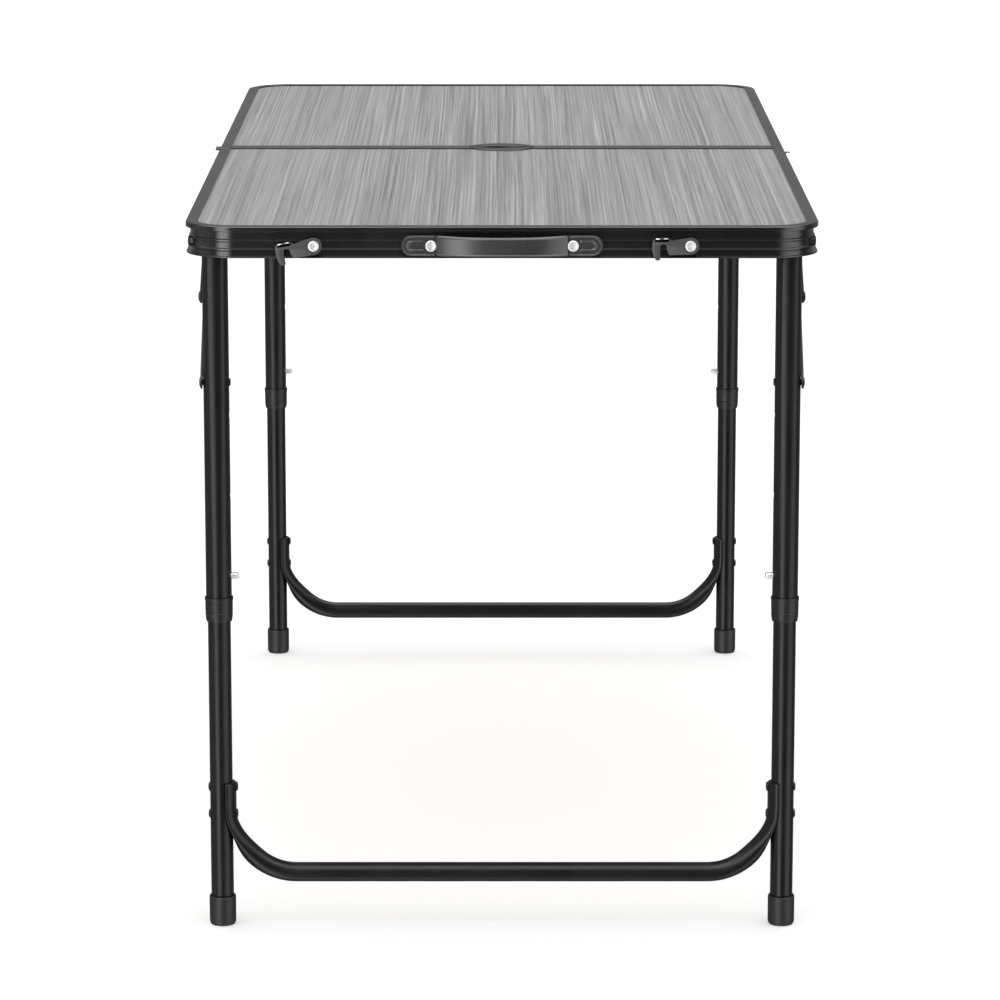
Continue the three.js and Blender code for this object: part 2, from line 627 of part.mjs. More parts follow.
// The U of round tube whose flattened ends hug the lower tubes, with its rivets.
function crossbar() {
  const saddleInner = LOWER_TUBE_RADIUS + CLEARANCE;
  const endX = LEG_X - saddleInner - SADDLE_THICKNESS;
  const top = SADDLE_TOP_Z;
  const route = [
    new THREE.Vector3(-endX, LEG_Y, top),
    new THREE.Vector3(-endX, LEG_Y, CROSSBAR_Z),
    new THREE.Vector3(endX, LEG_Y, CROSSBAR_Z),
    new THREE.Vector3(endX, LEG_Y, top),
  ];
  let bar = swept(circle(CROSSBAR_RADIUS), new StationPath(route, CROSSBAR_BEND, 5), 5);
  const reach = LEG_X + CROSSBAR_RADIUS;
  const across = CROSSBAR_RADIUS + OVERSHOOT;
  const kept = [box([-reach, LEG_Y - across, 0], [reach, LEG_Y + across, SADDLE_CONE_Z])];
  const seats = [];
  for (const side of [-1, 1]) {
    const centre = [side * LEG_X, LEG_Y, 0];
    const outer = saddleInner + SADDLE_THICKNESS;
    const flattened = [
      [outer + SADDLE_CONE_REACH, SADDLE_CONE_Z - OVERSHOOT],
      [outer, SADDLE_START_Z],
      [outer, top + OVERSHOOT],
    ];
    kept.push(turned(flattened, "z", centre, TUBE_SIDES));
    seats.push(rod(saddleInner, CROSSBAR_Z, top + OVERSHOOT, "z", centre, TUBE_SIDES));
  }
  bar = cutAll(bar.intersect(join(kept)), seats);
  const bore = [
    new THREE.Vector3(-endX + CROSSBAR_BEND, LEG_Y, CROSSBAR_Z),
    new THREE.Vector3(endX - CROSSBAR_BEND, LEG_Y, CROSSBAR_Z),
  ];
  const hollow = swept(circle(CROSSBAR_RADIUS - CROSSBAR_WALL), new StationPath(bore, 1, 1), 5);
  const drainLow = CROSSBAR_Z - CROSSBAR_RADIUS - OVERSHOOT;
  const drain = rod(CROSSBAR_DRAIN_RADIUS, drainLow, CROSSBAR_Z, "z", [0, LEG_Y, 0]);
  bar = cutAll(bar, [hollow, drain]);
  return join([bar, ...crossbarRivets()]);
}

function circle(radius) {
  const shape = new THREE.Shape();
  shape.absarc(0, 0, radius, 0, 2 * Math.PI, false);
  return shape;
}

// Rivets through a lower tube and its saddle, with a head on each side.
function crossbarRivets() {
  const rivets = [];
  const saddle = LOWER_TUBE_RADIUS + SADDLE_THICKNESS;
  const behind = LOWER_TUBE_RADIUS + CLEARANCE;
  for (const side of [-1, 1]) {
    for (const z of CROSSBAR_RIVET_Z) {
      const profile = [
        [RIVET_CROWN, -saddle - RIVET_HEAD_HEIGHT],
        [RIVET_HEAD, -saddle - RIVET_HEAD_HEIGHT / 4],
        [RIVET_HEAD, -saddle + RIVET_HEAD_HEIGHT / 4],
        [RIVET_RADIUS, -saddle + RIVET_HEAD_HEIGHT / 4],
        [RIVET_RADIUS, behind],
        [RIVET_HEAD, behind],
        [RIVET_CROWN, behind + RIVET_HEAD_HEIGHT],
      ];
      rivets.push(outwards(profile, side, [side * LEG_X, LEG_Y, z]));
    }
  }
  return rivets;
}

// A turned piece along X whose profile is measured outwards from the table's middle on either side.
function outwards(profile, side, centre, sides = PIN_SIDES) {
  const placed = side > 0 ? profile : profile.map(([radius, x]) => [radius, -x]).reverse();
  return turned(placed, "x", centre, sides);
}

// Snap button with the bent leaf spring that pushes it out.
function snapButton(side) {
  const tip = UPPER_TUBE_RADIUS + BUTTON_PROUD;
  const seat = LOWER_BORE - CLEARANCE;
  const pin = [
    [BUTTON_TIP_RADIUS, -tip],
    [BUTTON_RADIUS, -tip + BUTTON_RADIUS - BUTTON_TIP_RADIUS],
    [BUTTON_RADIUS, -seat + SPRING_LEAF * 2],
  ];
  const button = outwards(pin, side, [side * LEG_X, LEG_Y, BUTTON_Z]);
  const reach = seat - SPRING_LEAF;
  const foldZ = BUTTON_Z - SPRING_LENGTH;
  const route = [
    [-reach, BUTTON_Z + SPRING_WIDTH],
    [-reach, foldZ + SPRING_BEND],
    [-reach + SPRING_BEND, foldZ],
    [reach - SPRING_BEND, foldZ],
    [reach, foldZ + SPRING_BEND],
    [reach, BUTTON_Z - SPRING_WIDTH],
  ];
  const outer = route.map(([x, z]) => new THREE.Vector2(side * (LEG_X + x), z));
  const inner = route.map(([x, z]) => {
    const thinner = x * (1 - SPRING_LEAF / reach);
    const higher = z > foldZ ? z + SPRING_LEAF / 4 : z + SPRING_LEAF;
    return new THREE.Vector2(side * (LEG_X + thinner), higher);
  });
  const strip = new THREE.Shape([...outer, ...inner.reverse()]);
  const leaf = extruded(strip, SPRING_WIDTH).rotateX(Math.PI / 2);
  return button.add(solidOf(leaf.translate(0, LEG_Y + SPRING_WIDTH / 2, 0)));
}

// How far out the side wall's face of the given bend radius stands at a place along the table.
function sideFaceX(radius, y) {
  const past = Math.max(0, Math.abs(y) - BEND_CENTRE_Y);
  return HALF_WIDTH - CORNER_RADIUS + Math.sqrt(radius ** 2 - past ** 2);
}

// How far out the pivot bolt's head starts, clear of the curved wall's ridges.
function pivotHeadX() {
  return sideFaceX(CORNER_RADIUS - LIP_OVERHANG, Math.abs(LEG_Y) - PIVOT_HEAD_RADIUS) + SEAT;
}

// Leg pivot: head outside the side wall, spacer between wall and tube, nut on the tube's inner side.
function pivotBolt(side) {
  const facet = Math.cos(Math.PI / 4 / CORNER_STEPS);
  const wallRadius = (CORNER_RADIUS - LIP_OVERHANG - WALL) * facet;
  const inner = sideFaceX(wallRadius, Math.abs(LEG_Y) + PIVOT_SPACER_RADIUS) - CLEARANCE;
  const outer = pivotHeadX();
  const nut = LEG_INNER_X - CLEARANCE;
  const profile = [
    [PIVOT_SPACER_RADIUS, nut - PIVOT_NUT_HEIGHT],
    [PIVOT_NUT_RADIUS, nut],
    [PIVOT_BOLT_RADIUS, nut],
    [PIVOT_BOLT_RADIUS, LEG_OUTER_X + CLEARANCE],
    [PIVOT_SPACER_RADIUS, LEG_OUTER_X + CLEARANCE],
    [PIVOT_SPACER_RADIUS, inner],
    [PIVOT_BOLT_RADIUS, inner],
    [PIVOT_BOLT_RADIUS, outer],
    [PIVOT_HEAD_RADIUS, outer],
    [RIVET_CROWN, outer + PIVOT_HEAD_HEIGHT],
  ];
  return outwards(profile, side, [0, LEG_Y, PIVOT_Z]);
}

// ---------------------------------------------------------------- stays

// Where the two links of a stay meet: y and z, from the lengths of the links.
function stayMiddle() {
  const rail = new THREE.Vector2(STAY_RAIL_Y, PIVOT_Z);
  const leg = new THREE.Vector2(LEG_Y, STAY_LEG_Z);
  const span = rail.distanceTo(leg);
  const along = (STAY_UPPER_LENGTH ** 2 - STAY_LOWER_LENGTH ** 2 + span ** 2) / (2 * span);
  const off = Math.sqrt(STAY_UPPER_LENGTH ** 2 - along ** 2);
  const direction = leg.clone().sub(rail).normalize();
  const across = new THREE.Vector2(direction.y, -direction.x);
  return rail.clone().addScaledVector(direction, along).addScaledVector(across, off);
}

// A flat link with round ends between two points (y, z), x being its inner face.
function link(from, to, x, side) {
  const angle = Math.atan2(to.y - from.y, to.x - from.x);
  const shape = new THREE.Shape();
  shape.absarc(from.x, from.y, STAY_HALF_WIDTH, angle + Math.PI / 2, angle + 1.5 * Math.PI, false);
  shape.absarc(to.x, to.y, STAY_HALF_WIDTH, angle - Math.PI / 2, angle + Math.PI / 2, false);
  const flat = extruded(shape, STAY_THICKNESS);
  flat.applyMatrix4(YZ_PLATE).translate(side > 0 ? x : -x - STAY_THICKNESS, 0, 0);
  return solidOf(flat);
}

// Stands an outline drawn as (y, z) upright, extruded along +X.
const YZ_PLATE = new THREE.Matrix4().makeBasis(
  new THREE.Vector3(0, 1, 0),
  new THREE.Vector3(0, 0, 1),
  new THREE.Vector3(1, 0, 0),
);

function upperStay(side) {
  const rail = new THREE.Vector2(STAY_RAIL_Y, PIVOT_Z);
  const middle = stayMiddle();
  const outer = UPPER_LINK_X + STAY_THICKNESS;
  const pivot = [
    [RIVET_TAIL, UPPER_LINK_X - RIVET_TAIL_HEIGHT],
    [COLLAR_RADIUS, UPPER_LINK_X + RIVET_SINK],
    [COLLAR_RADIUS, WALL_INNER - CLEARANCE],
    [RIVET_RADIUS, WALL_INNER - CLEARANCE],
    [RIVET_RADIUS, WALL_OUTER + SEAT],
    [RIVET_HEAD, WALL_OUTER + SEAT],
    [RIVET_CROWN, WALL_OUTER + SEAT + RIVET_HEAD_HEIGHT],
  ];
  const knuckle = [
    [COLLAR_RADIUS, outer - RIVET_SINK],
    [RIVET_CROWN, outer + RIVET_HEAD_HEIGHT * 0.8],
  ];
  return join([
    link(rail, middle, UPPER_LINK_X, side),
    outwards(pivot, side, [0, STAY_RAIL_Y, PIVOT_Z]),
    outwards(knuckle, side, [0, middle.x, middle.y]),
  ]);
}

function lowerStay(side) {
  const leg = new THREE.Vector2(LEG_Y, STAY_LEG_Z);
  const middle = stayMiddle();
  const outer = LOWER_LINK_X + STAY_THICKNESS;
  const nut = LEG_INNER_X - CLEARANCE;
  const bolt = [
    [RIVET_CROWN, nut - RIVET_HEAD_HEIGHT],
    [COLLAR_RADIUS, nut - RIVET_HEAD_HEIGHT / 2],
    [COLLAR_RADIUS, nut],
    [RIVET_RADIUS, nut],
    [RIVET_RADIUS, outer - RIVET_SINK],
    [RIVET_HEAD, outer - RIVET_SINK],
    [RIVET_CROWN, outer + RIVET_TAIL_HEIGHT],
  ];
  return join([link(leg, middle, LOWER_LINK_X, side), outwards(bolt, side, [0, LEG_Y, STAY_LEG_Z])]);
}

// ---------------------------------------------------------------- hooks, rivets, studs

// Hook plate in its own plane: pivot at the origin, notch and finger towards -x, notch opening down.
function hookOutline() {
  const near = HOOK_NOTCH_WIDTH / 2 - HOOK_NOTCH_REACH;
  const far = -HOOK_NOTCH_WIDTH / 2 - HOOK_NOTCH_REACH;
  const tip = -HOOK_TIP_REACH;
  const shape = new THREE.Shape();
  shape.absarc(0, 0, HOOK_DISC, Math.PI / 2, -Math.PI / 2, true);
  shape.lineTo(near + HOOK_FLARE, -HOOK_DISC);
  shape.lineTo(near, HOOK_FLARE_TOP);
  shape.absarc(-HOOK_NOTCH_REACH, HOOK_NOTCH_TOP, HOOK_NOTCH_WIDTH / 2, 0, Math.PI, false);
  shape.lineTo(far, -HOOK_FINGER_DROP + 1.5);
  shape.quadraticCurveTo(far - 0.4, -HOOK_FINGER_DROP, far - 3, -HOOK_FINGER_DROP);
  shape.quadraticCurveTo(tip + 1, -HOOK_FINGER_DROP + 1, tip, -4);
  shape.lineTo(tip, HOOK_TOP - 4);
  shape.quadraticCurveTo(tip, HOOK_TOP, tip + 4, HOOK_TOP);
  shape.lineTo(HOOK_TAB_LENGTH / 2 + HOOK_TAB_OFFSET - HOOK_NOTCH_REACH, HOOK_TOP);
  shape.lineTo(0, HOOK_DISC);
  return shape;
}

// Plate with its thumb tab, lying in the x-y plane, the tab standing up along +z.
function hookPlate() {
  const plate = solidOf(extruded(hookOutline(), HOOK_THICKNESS));
  const middle = -HOOK_NOTCH_REACH - HOOK_TAB_OFFSET;
  const half = HOOK_TAB_LENGTH / 2;
  const tab = box(
    [middle - half, HOOK_TOP - HOOK_THICKNESS, 0],
    [middle + half, HOOK_TOP, HOOK_THICKNESS + HOOK_TAB_REACH],
  );
  const over = HOOK_THICKNESS + OVERSHOOT;
  const hole = rod(RIVET_RADIUS + HOLE_ROOM, -OVERSHOOT, over, "z", [0, 0, 0]);
  return plate.add(tab).subtract(hole);
}

// A hook facing outwards from its wall, pivot at the given place, turned down by droop degrees.
function hookMesh(name, place, outward, droop) {
  const mesh = meshOf(name, hookPlate(), "hook");
  const up = new THREE.Vector3(0, 0, 1);
  const right = up.clone().cross(outward);
  const facing = new THREE.Matrix4().makeBasis(right, up, outward);
  const turn = new THREE.Matrix4().makeRotationZ(THREE.MathUtils.degToRad(droop));
  mesh.applyMatrix4(facing.multiply(turn).setPosition(place));
  return mesh;
}

// The inside end of a rivet that goes through a wall whose outer face is at zero.
function wallTail() {
  return [
    [RIVET_TAIL, -WALL - CLEARANCE - RIVET_TAIL_HEIGHT],
    [RIVET_TAIL, -WALL - CLEARANCE],
  ];
}

// Rivet that holds a hook off the wall: spacer, shank through the hook, domed head.
function hookRivet() {
  const under = HOOK_PLATE_OFFSET - CLEARANCE;
  const over = HOOK_PLATE_OFFSET + HOOK_THICKNESS + CLEARANCE;
  const profile = [
    ...wallTail(),
    [RIVET_RADIUS, -WALL - CLEARANCE],
    [RIVET_RADIUS, SEAT],
    [HOOK_SPACER_RADIUS, SEAT],
    [HOOK_SPACER_RADIUS, under],
    [RIVET_RADIUS, under],
    [RIVET_RADIUS, over],
    [RIVET_HEAD, over],
    [RIVET_HEAD, over + RIVET_HEAD_HEIGHT / 2],
    [RIVET_CROWN, over + RIVET_HEAD_HEIGHT],
  ];
  return turned(profile, "z", [0, 0, 0], PIN_SIDES);
}

// Stud that a hook's notch takes, with a head that keeps the hook on.
function catchStud() {
  const collar = HOOK_PLATE_OFFSET - STUD_COLLAR_ROOM;
  const reach = HOOK_PLATE_OFFSET + HOOK_THICKNESS + HOOK_LIP_ROOM;
  const profile = [
    ...wallTail(),
    [STUD_RADIUS, -WALL - CLEARANCE],
    [STUD_RADIUS, SEAT],
    [STUD_COLLAR_RADIUS, SEAT],
    [STUD_COLLAR_RADIUS, collar],
    [STUD_RADIUS, collar],
    [STUD_RADIUS, reach],
    [STUD_COLLAR_RADIUS, reach],
    [RIVET_CROWN, reach + STUD_HEAD_HEIGHT],
  ];
  return turned(profile, "z", [0, 0, 0], PIN_SIDES);
}

// How far past the seam a side hook's notch is when the hook is down on its stud.
function sideStudY() {
  const reach = Math.hypot(HOOK_NOTCH_REACH, HOOK_NOTCH_TOP);
  return Math.sqrt(reach ** 2 - (SIDE_HOOK_Z - SIDE_STUD_Z) ** 2) - SIDE_HOOK_SETBACK;
}

// Places a piece made along +Z so that it points along outward, starting on the wall's face.
function onWall(name, solid, material, place, outward) {
  const mesh = meshOf(name, solid, material);
  mesh.quaternion.setFromUnitVectors(new THREE.Vector3(0, 0, 1), outward);
  mesh.position.copy(place);
  return mesh;
}

// ---------------------------------------------------------------- handle

// A moulded strap with two pads against the end wall and a grip that bows away from it, with its rivets.
function handle() {
  const wall = -END_WALL_OUTER - SEAT;
  const pads = extruded(handlePlan(wall), HANDLE_PAD_HEIGHT, 8);
  pads.translate(0, 0, HANDLE_Z - HANDLE_PAD_HEIGHT / 2);
  const depth = HANDLE_THICKNESS + HANDLE_BOW + 2 * OVERSHOOT;
  const front = extruded(handleFront(), depth).rotateX(Math.PI / 2);
  front.translate(0, wall + OVERSHOOT, HANDLE_Z);

  const tail = -WALL - SEAT - CLEARANCE;
  const rivet = [
    [RIVET_TAIL, tail - RIVET_TAIL_HEIGHT],
    [RIVET_TAIL, tail],
    [HANDLE_RIVET_RADIUS, tail],
    [HANDLE_RIVET_RADIUS, HANDLE_THICKNESS - RIVET_SINK],
    [RIVET_HEAD, HANDLE_THICKNESS - RIVET_SINK],
    [RIVET_CROWN, HANDLE_THICKNESS + RIVET_HEAD_HEIGHT],
  ];
  const profile = rivet.map(([radius, out]) => [radius, wall - out]).reverse();
  const rivets = [-1, 1].map((side) => {
    return turned(profile, "y", [side * HANDLE_RIVET_X, 0, HANDLE_Z], PIN_SIDES);
  });
  return join([solidOf(pads).intersect(solidOf(front)), ...rivets]);
}

// The handle seen from above, its pads lying on the plane y = wall.
function handlePlan(wall) {
  const half = HANDLE_LENGTH / 2;
  const face = wall - HANDLE_THICKNESS;
  const start = HANDLE_GRIP_HALF - HANDLE_PAD_INSET;
  const plan = new THREE.Shape();
  plan.moveTo(-half, wall);
  plan.lineTo(-half, face);
  plan.lineTo(-HANDLE_GRIP_HALF, face);
  bow(plan, -HANDLE_GRIP_HALF, face);
  plan.lineTo(half, face);
  plan.lineTo(half, wall);
  plan.lineTo(start, wall);
  bow(plan, start, wall);
  return plan;
}

// Draws the bow of the grip from x = start across to -start, leaving and reaching the given depth.
function bow(plan, start, depth) {
  const out = depth - HANDLE_BOW;
  plan.bezierCurveTo(start * 0.64, out, start * 0.32, out, 0, out);
  plan.bezierCurveTo(-start * 0.32, out, -start * 0.64, out, -start, depth);
}

// The handle seen from its front, round its own middle.
function handleFront() {
  const half = HANDLE_LENGTH / 2;
  const round = HANDLE_PAD_HEIGHT / 2;
  const grip = round - HANDLE_GRIP_WAIST / 2;
  const waist = HANDLE_GRIP_HALF / 2;
  const front = new THREE.Shape();
  front.absarc(-half + round, 0, round, Math.PI / 2, 1.5 * Math.PI, false);
  front.lineTo(-HANDLE_GRIP_HALF, -round);
  front.quadraticCurveTo(-waist, -grip, 0, -grip);
  front.quadraticCurveTo(waist, -grip, HANDLE_GRIP_HALF, -round);
  front.absarc(half - round, 0, round, -Math.PI / 2, Math.PI / 2, false);
  front.lineTo(HANDLE_GRIP_HALF, round);
  front.quadraticCurveTo(waist, grip, 0, grip);
  front.quadraticCurveTo(-waist, grip, -HANDLE_GRIP_HALF, round);
  return front;
}

// ---------------------------------------------------------------- seam hinges

// A leaf under a seam rail, with knuckles over the given spans along X.
function hingeLeaf(x, spans, withPin) {
  const top = RIM_Z - CLEARANCE;
  const edge = HINGE_KNUCKLE_RADIUS + CLEARANCE;
  const half = HINGE_LENGTH / 2;
  const pieces = [box([x - half, -HINGE_LEAF_REACH, top - HINGE_LEAF], [x + half, -edge, top])];
  for (const [low, high] of spans) {
    pieces.push(rod(HINGE_KNUCKLE_RADIUS, x + low, x + high, "x", [0, 0, HINGE_Z], ROUND_SIDES));
    pieces.push(box([x + low, -edge - OVERSHOOT, top - HINGE_LEAF], [x + high, SEAM_Y, top]));
  }
  const pinSize = withPin ? HINGE_PIN_RADIUS : HINGE_PIN_RADIUS + CLEARANCE;
  const ends = [x - half - OVERSHOOT, x + half + OVERSHOOT];
  const pin = rod(pinSize, ...ends, "x", [0, 0, HINGE_Z]);
  const leaf = join(pieces);
  return withPin ? leaf.add(pin) : leaf.subtract(pin);
}

function hingeMeshes(group, label, x) {
  const half = HINGE_LENGTH / 2;
  const middle = HINGE_MIDDLE_KNUCKLE / 2;
  const outerSpans = [
    [-half, -middle - CLEARANCE],
    [middle + CLEARANCE, half],
  ];
  group.near.add(meshOf(label + "_hinge_near_leaf", hingeLeaf(x, outerSpans, true), "steel"));
  const farLeaf = hingeLeaf(-x, [[-middle, middle]], false);
  group.far.add(meshOf(label + "_hinge_far_leaf", farLeaf, "steel"));
}

// ---------------------------------------------------------------- assembly

// The pieces that both halves have. sideName turns a side of the half into left or right of the table.
function addHalf(group, half, sideName, endHoles) {
  const frame = cutAll(edgeFrame(), [...sideWallHoles(), ...endHoles]);
  group.add(meshOf(half + "_edge_frame", frame, "edging"));
  group.add(meshOf(half + "_seam_rail", seamRail(), "edging"));
  group.add(meshOf(half + "_panel", panel(), "laminate"));
  group.add(meshOf(half + "_opening_trim", openingTrim(), "plastic"));
  group.add(meshOf(half + "_crossbar", crossbar(), "tube"));
  for (const side of [-1, 1]) {
    const label = half + "_" + sideName(side) + "_";
    group.add(meshOf(label + "upper_tube", upperTube(side), "tube"));
    group.add(meshOf(label + "lower_tube", lowerTube(side), "tube"));
    group.add(meshOf(label + "collar", collar(side), "plastic"));
    group.add(meshOf(label + "foot", foot(side), "plastic"));
    group.add(meshOf(label + "snap_button", snapButton(side), "bright"));
    group.add(meshOf(label + "pivot_bolt", pivotBolt(side), "steel"));
    group.add(meshOf(label + "upper_stay", upperStay(side), "steel"));
    group.add(meshOf(label + "lower_stay", lowerStay(side), "steel"));
  }
  addSideHook(group, half, sideName);
}

function addSideHook(group, half, sideName) {
  const left = new THREE.Vector3(-1, 0, 0);
  const right = new THREE.Vector3(1, 0, 0);
  const label = sideName(-1) + "_side_hook";
  const wall = new THREE.Vector3(-WALL_OUTER, -SIDE_HOOK_SETBACK, SIDE_HOOK_Z);
  const pivot = wall.clone().addScaledVector(left, HOOK_PLATE_OFFSET);
  group.add(hookMesh(label, pivot, left, -SIDE_HOOK_RAISED));
  group.add(onWall(label + "_rivet", hookRivet(), "bright", wall, left));
  const stud = new THREE.Vector3(WALL_OUTER, -sideStudY(), SIDE_STUD_Z);
  group.add(onWall(sideName(1) + "_side_stud", catchStud(), "steel", stud, right));
}

function addFrontHook(group, label, x, droop) {
  const front = new THREE.Vector3(0, -1, 0);
  const wall = new THREE.Vector3(x, -END_WALL_OUTER, FRONT_HOOK_Z);
  const pivot = wall.clone().addScaledVector(front, HOOK_PLATE_OFFSET);
  group.add(hookMesh(label + "_latch_hook", pivot, front, droop));
  group.add(onWall(label + "_latch_rivet", hookRivet(), "bright", wall, front));
}

const table = new THREE.Group();
const nearHalf = new THREE.Group();
const farHalf = new THREE.Group();
farHalf.rotation.z = Math.PI;
table.add(nearHalf, farHalf);

const nearHoles = [-1, 1].flatMap((side) => [
  endWallHole(RIVET_RADIUS, side * FRONT_HOOK_X, FRONT_HOOK_Z),
  endWallHole(HANDLE_RIVET_RADIUS, side * HANDLE_RIVET_X, HANDLE_Z),
]);
const farHoles = [-1, 1].map((side) => endWallHole(STUD_RADIUS, side * FRONT_HOOK_X, CLOSING_STUD_Z));

addHalf(nearHalf, "near", (side) => (side < 0 ? "left" : "right"), nearHoles);
addHalf(farHalf, "far", (side) => (side < 0 ? "right" : "left"), farHoles);

nearHalf.add(meshOf("carry_handle", handle(), "grip"));
addFrontHook(nearHalf, "left", -FRONT_HOOK_X, LEFT_HOOK_DROOP);
addFrontHook(nearHalf, "right", FRONT_HOOK_X, RIGHT_HOOK_DROOP);
for (const side of [-1, 1]) {
  const place = new THREE.Vector3(side * FRONT_HOOK_X, -END_WALL_OUTER, CLOSING_STUD_Z);
  const label = side < 0 ? "right" : "left";
  const outward = new THREE.Vector3(0, -1, 0);
  farHalf.add(onWall(label + "_closing_stud", catchStud(), "steel", place, outward));
}
hingeMeshes({ near: nearHalf, far: farHalf }, "left", -HINGE_X);
hingeMeshes({ near: nearHalf, far: farHalf }, "right", HINGE_X);

export default table;
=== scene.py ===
import json
import math

import bmesh
import bpy
from mathutils import Matrix, Vector


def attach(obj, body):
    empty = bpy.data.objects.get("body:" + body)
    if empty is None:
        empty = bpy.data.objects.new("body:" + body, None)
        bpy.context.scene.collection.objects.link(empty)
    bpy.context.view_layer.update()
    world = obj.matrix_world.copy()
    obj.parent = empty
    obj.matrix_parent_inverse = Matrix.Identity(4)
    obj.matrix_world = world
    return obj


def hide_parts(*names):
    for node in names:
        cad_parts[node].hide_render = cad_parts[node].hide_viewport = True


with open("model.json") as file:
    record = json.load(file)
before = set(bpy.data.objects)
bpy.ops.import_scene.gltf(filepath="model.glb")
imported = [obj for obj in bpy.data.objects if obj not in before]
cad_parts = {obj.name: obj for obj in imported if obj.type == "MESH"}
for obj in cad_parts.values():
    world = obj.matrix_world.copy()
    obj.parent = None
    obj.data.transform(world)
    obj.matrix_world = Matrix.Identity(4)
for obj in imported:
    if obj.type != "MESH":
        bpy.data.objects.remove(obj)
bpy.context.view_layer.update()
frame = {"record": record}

# Sizes are in millimetres, as in the CAD, and meshes are scaled to metres as they are made.
# The near half is at -Y; the far half is made in the same place and turned round Z.
MM = 0.001
TOP_Z = 690.0
HALF_LENGTH = 600.0
HALF_WIDTH = 300.0
SEAM_Y = -0.75
RIM_Z = 660.0
CORNER_RADIUS = 48.0
WALL_OUTER = 295.5
WALL_INNER = 294.0
END_WALL_Y = -595.5
WALL_REACH = HALF_WIDTH - WALL_OUTER
SEAT = 0.8  # from the wall's face to what stands on it
GAP = 0.3  # between pieces that would touch
PANEL_TOP_Z = 688.7
PANEL_BOTTOM_Z = 684.9
LEG_X = 272.0
LEG_Y = -565.0
PIVOT_Z = 672.0
UPPER_RADIUS = 12.4
UPPER_BORE = 11.3
TUBE_TOP_DROP = 0.6
LOWER_RADIUS = 11.0
LOWER_BORE = 9.9
UPPER_END_Z = 309.0
LOWER_TOP_Z = 367.0
BUTTON_Z = 347.5
HEIGHT_STEP = 78.0
OPENING = (26, 11.5)  # half width and half depth of the oval hole through the top
SLEEVE = (27.4, 12.9)
PANEL_OVAL = (27.7, 13.2)
HOOK_OFFSET = 5.1
HOOK_THICKNESS = 1.6
HINGE_Z = 656.5
HANDLE_Z = 671.8
LINK_THICKNESS = 1.8
LEAF_THICKNESS = 1.6
LEAF_HALF = 24
FILLET_REACH = 0.48  # the most of a side that one rounded corner takes up
WELD = 1e-6  # metres
BEVEL_ANGLE = 40  # edges flatter than this aren't softened
PLAIN_ANGLE = 38  # edges flatter than this are shaded smooth
EDGING_ANGLE = 44

BODY_OF = {n: b for b, nodes in frame["record"]["behaviour"]["bodies"].items() for n in nodes}

# ---------------------------------------------------------------- outlines


def arc(cx, cy, r, start, end, steps):
    """Points on a circle from start to end degrees."""
    turns = [math.radians(start + (end - start) * i / steps) for i in range(steps + 1)]
    return [(cx + r * math.cos(a), cy + r * math.sin(a)) for a in turns]


def fillet(points, steps=3, closed=True):
    """Rounds the corners of a polyline whose points are (x, y) or (x, y, radius)."""
    out = []
    n = len(points)
    for i, point in enumerate(points):
        radius = point[2] if len(point) > 2 else 0
        here = Vector(point[:2])
        if radius <= 0 or (not closed and i in (0, n - 1)):
            out.append(tuple(here))
            continue
        before = Vector(points[i - 1][:2]) - here
        after = Vector(points[(i + 1) % n][:2]) - here
        half = before.angle(after) / 2
        room = FILLET_REACH * min(before.length, after.length)
        cut = min(radius / math.tan(half), room)
        u, v = before.normalized(), after.normalized()
        centre = here + (u + v).normalized() * cut / math.cos(half)
        first, last = here + u * cut - centre, here + v * cut - centre
        sweep = first.angle_signed(last)
        for k in range(steps + 1):
            a = -sweep * k / steps
            c, s = math.cos(a), math.sin(a)
            out.append((centre.x + first.x * c - first.y * s,
                        centre.y + first.x * s + first.y * c))
    return out


def rise(value, low, high):
    """Smooth step from 0 at low to 1 at high."""
    t = min(1.0, max(0.0, (value - low) / (high - low)))
    return t * t * (3 - 2 * t)


# ---------------------------------------------------------------- shells
# A shell is (points, faces, material index).


def loft(sections, closed=False, caps=True, material=0):
    """Joins equal loops of points into a skin."""
    n = len(sections[0])
    points = [Vector(p) for section in sections for p in section]
    faces = []
    count = len(sections)
    for i in range(count if closed else count - 1):
        a, b = i * n, ((i + 1) % count) * n
        for k in range(n):
            k1 = (k + 1) % n
            faces.append((a + k, a + k1, b + k1, b + k))
    if caps and not closed:
        faces.append(tuple(range(n)))
        faces.append(tuple(range((count - 1) * n, count * n)))
    return points, faces, material


def basis(axis):
    """A unit axis and two directions across it."""
    axis = Vector(axis).normalized()
    u = axis.orthogonal().normalized() if abs(axis.z) < 0.9 else Vector((1, 0, 0))
    return axis, u, axis.cross(u)


def lathe(profile, centre, axis, segments, closed=False, material=0):
    """Turns (radius, place along axis) points round an axis. A radius of zero makes a pole."""
    axis, u, v = basis(axis)
    centre = Vector(centre)
    sections = []
    for radius, along in profile:
        ring = []
        for i in range(segments):
            a = 2 * math.pi * i / segments
            ring.append(centre + axis * along + (u * math.cos(a) + v * math.sin(a)) * radius)
        sections.append(ring)
    return loft(sections, closed=closed, caps=not closed, material=material)


def tube(outer, bore, low, high, x, y):
    """An upright tube with eased ends."""
    corners = ((outer, low), (outer, high), (bore, high), (bore, low))
    profile = fillet([(radius, z, 0.25) for radius, z in corners], 2)
    return lathe(profile, (x, y, 0), (0, 0, 1), 48, closed=True)


def rod(radius, low, high):
    """Profile of a plain rod between two places along its axis."""
    return [(0, low), (radius, low), (radius, high), (0, high)]


def turned(profiles, centre, axis, segments):
    """Several turned shapes on one axis."""
    return [lathe(profile, centre, axis, segments) for profile in profiles]


def upright(x, y, z):
    return x, y, z


def slab(outline, low, high, place=upright):
    """Extrudes an outline; place turns (x, y, height) into a point."""
    return loft([[place(x, y, level) for x, y in outline] for level in (low, high)])


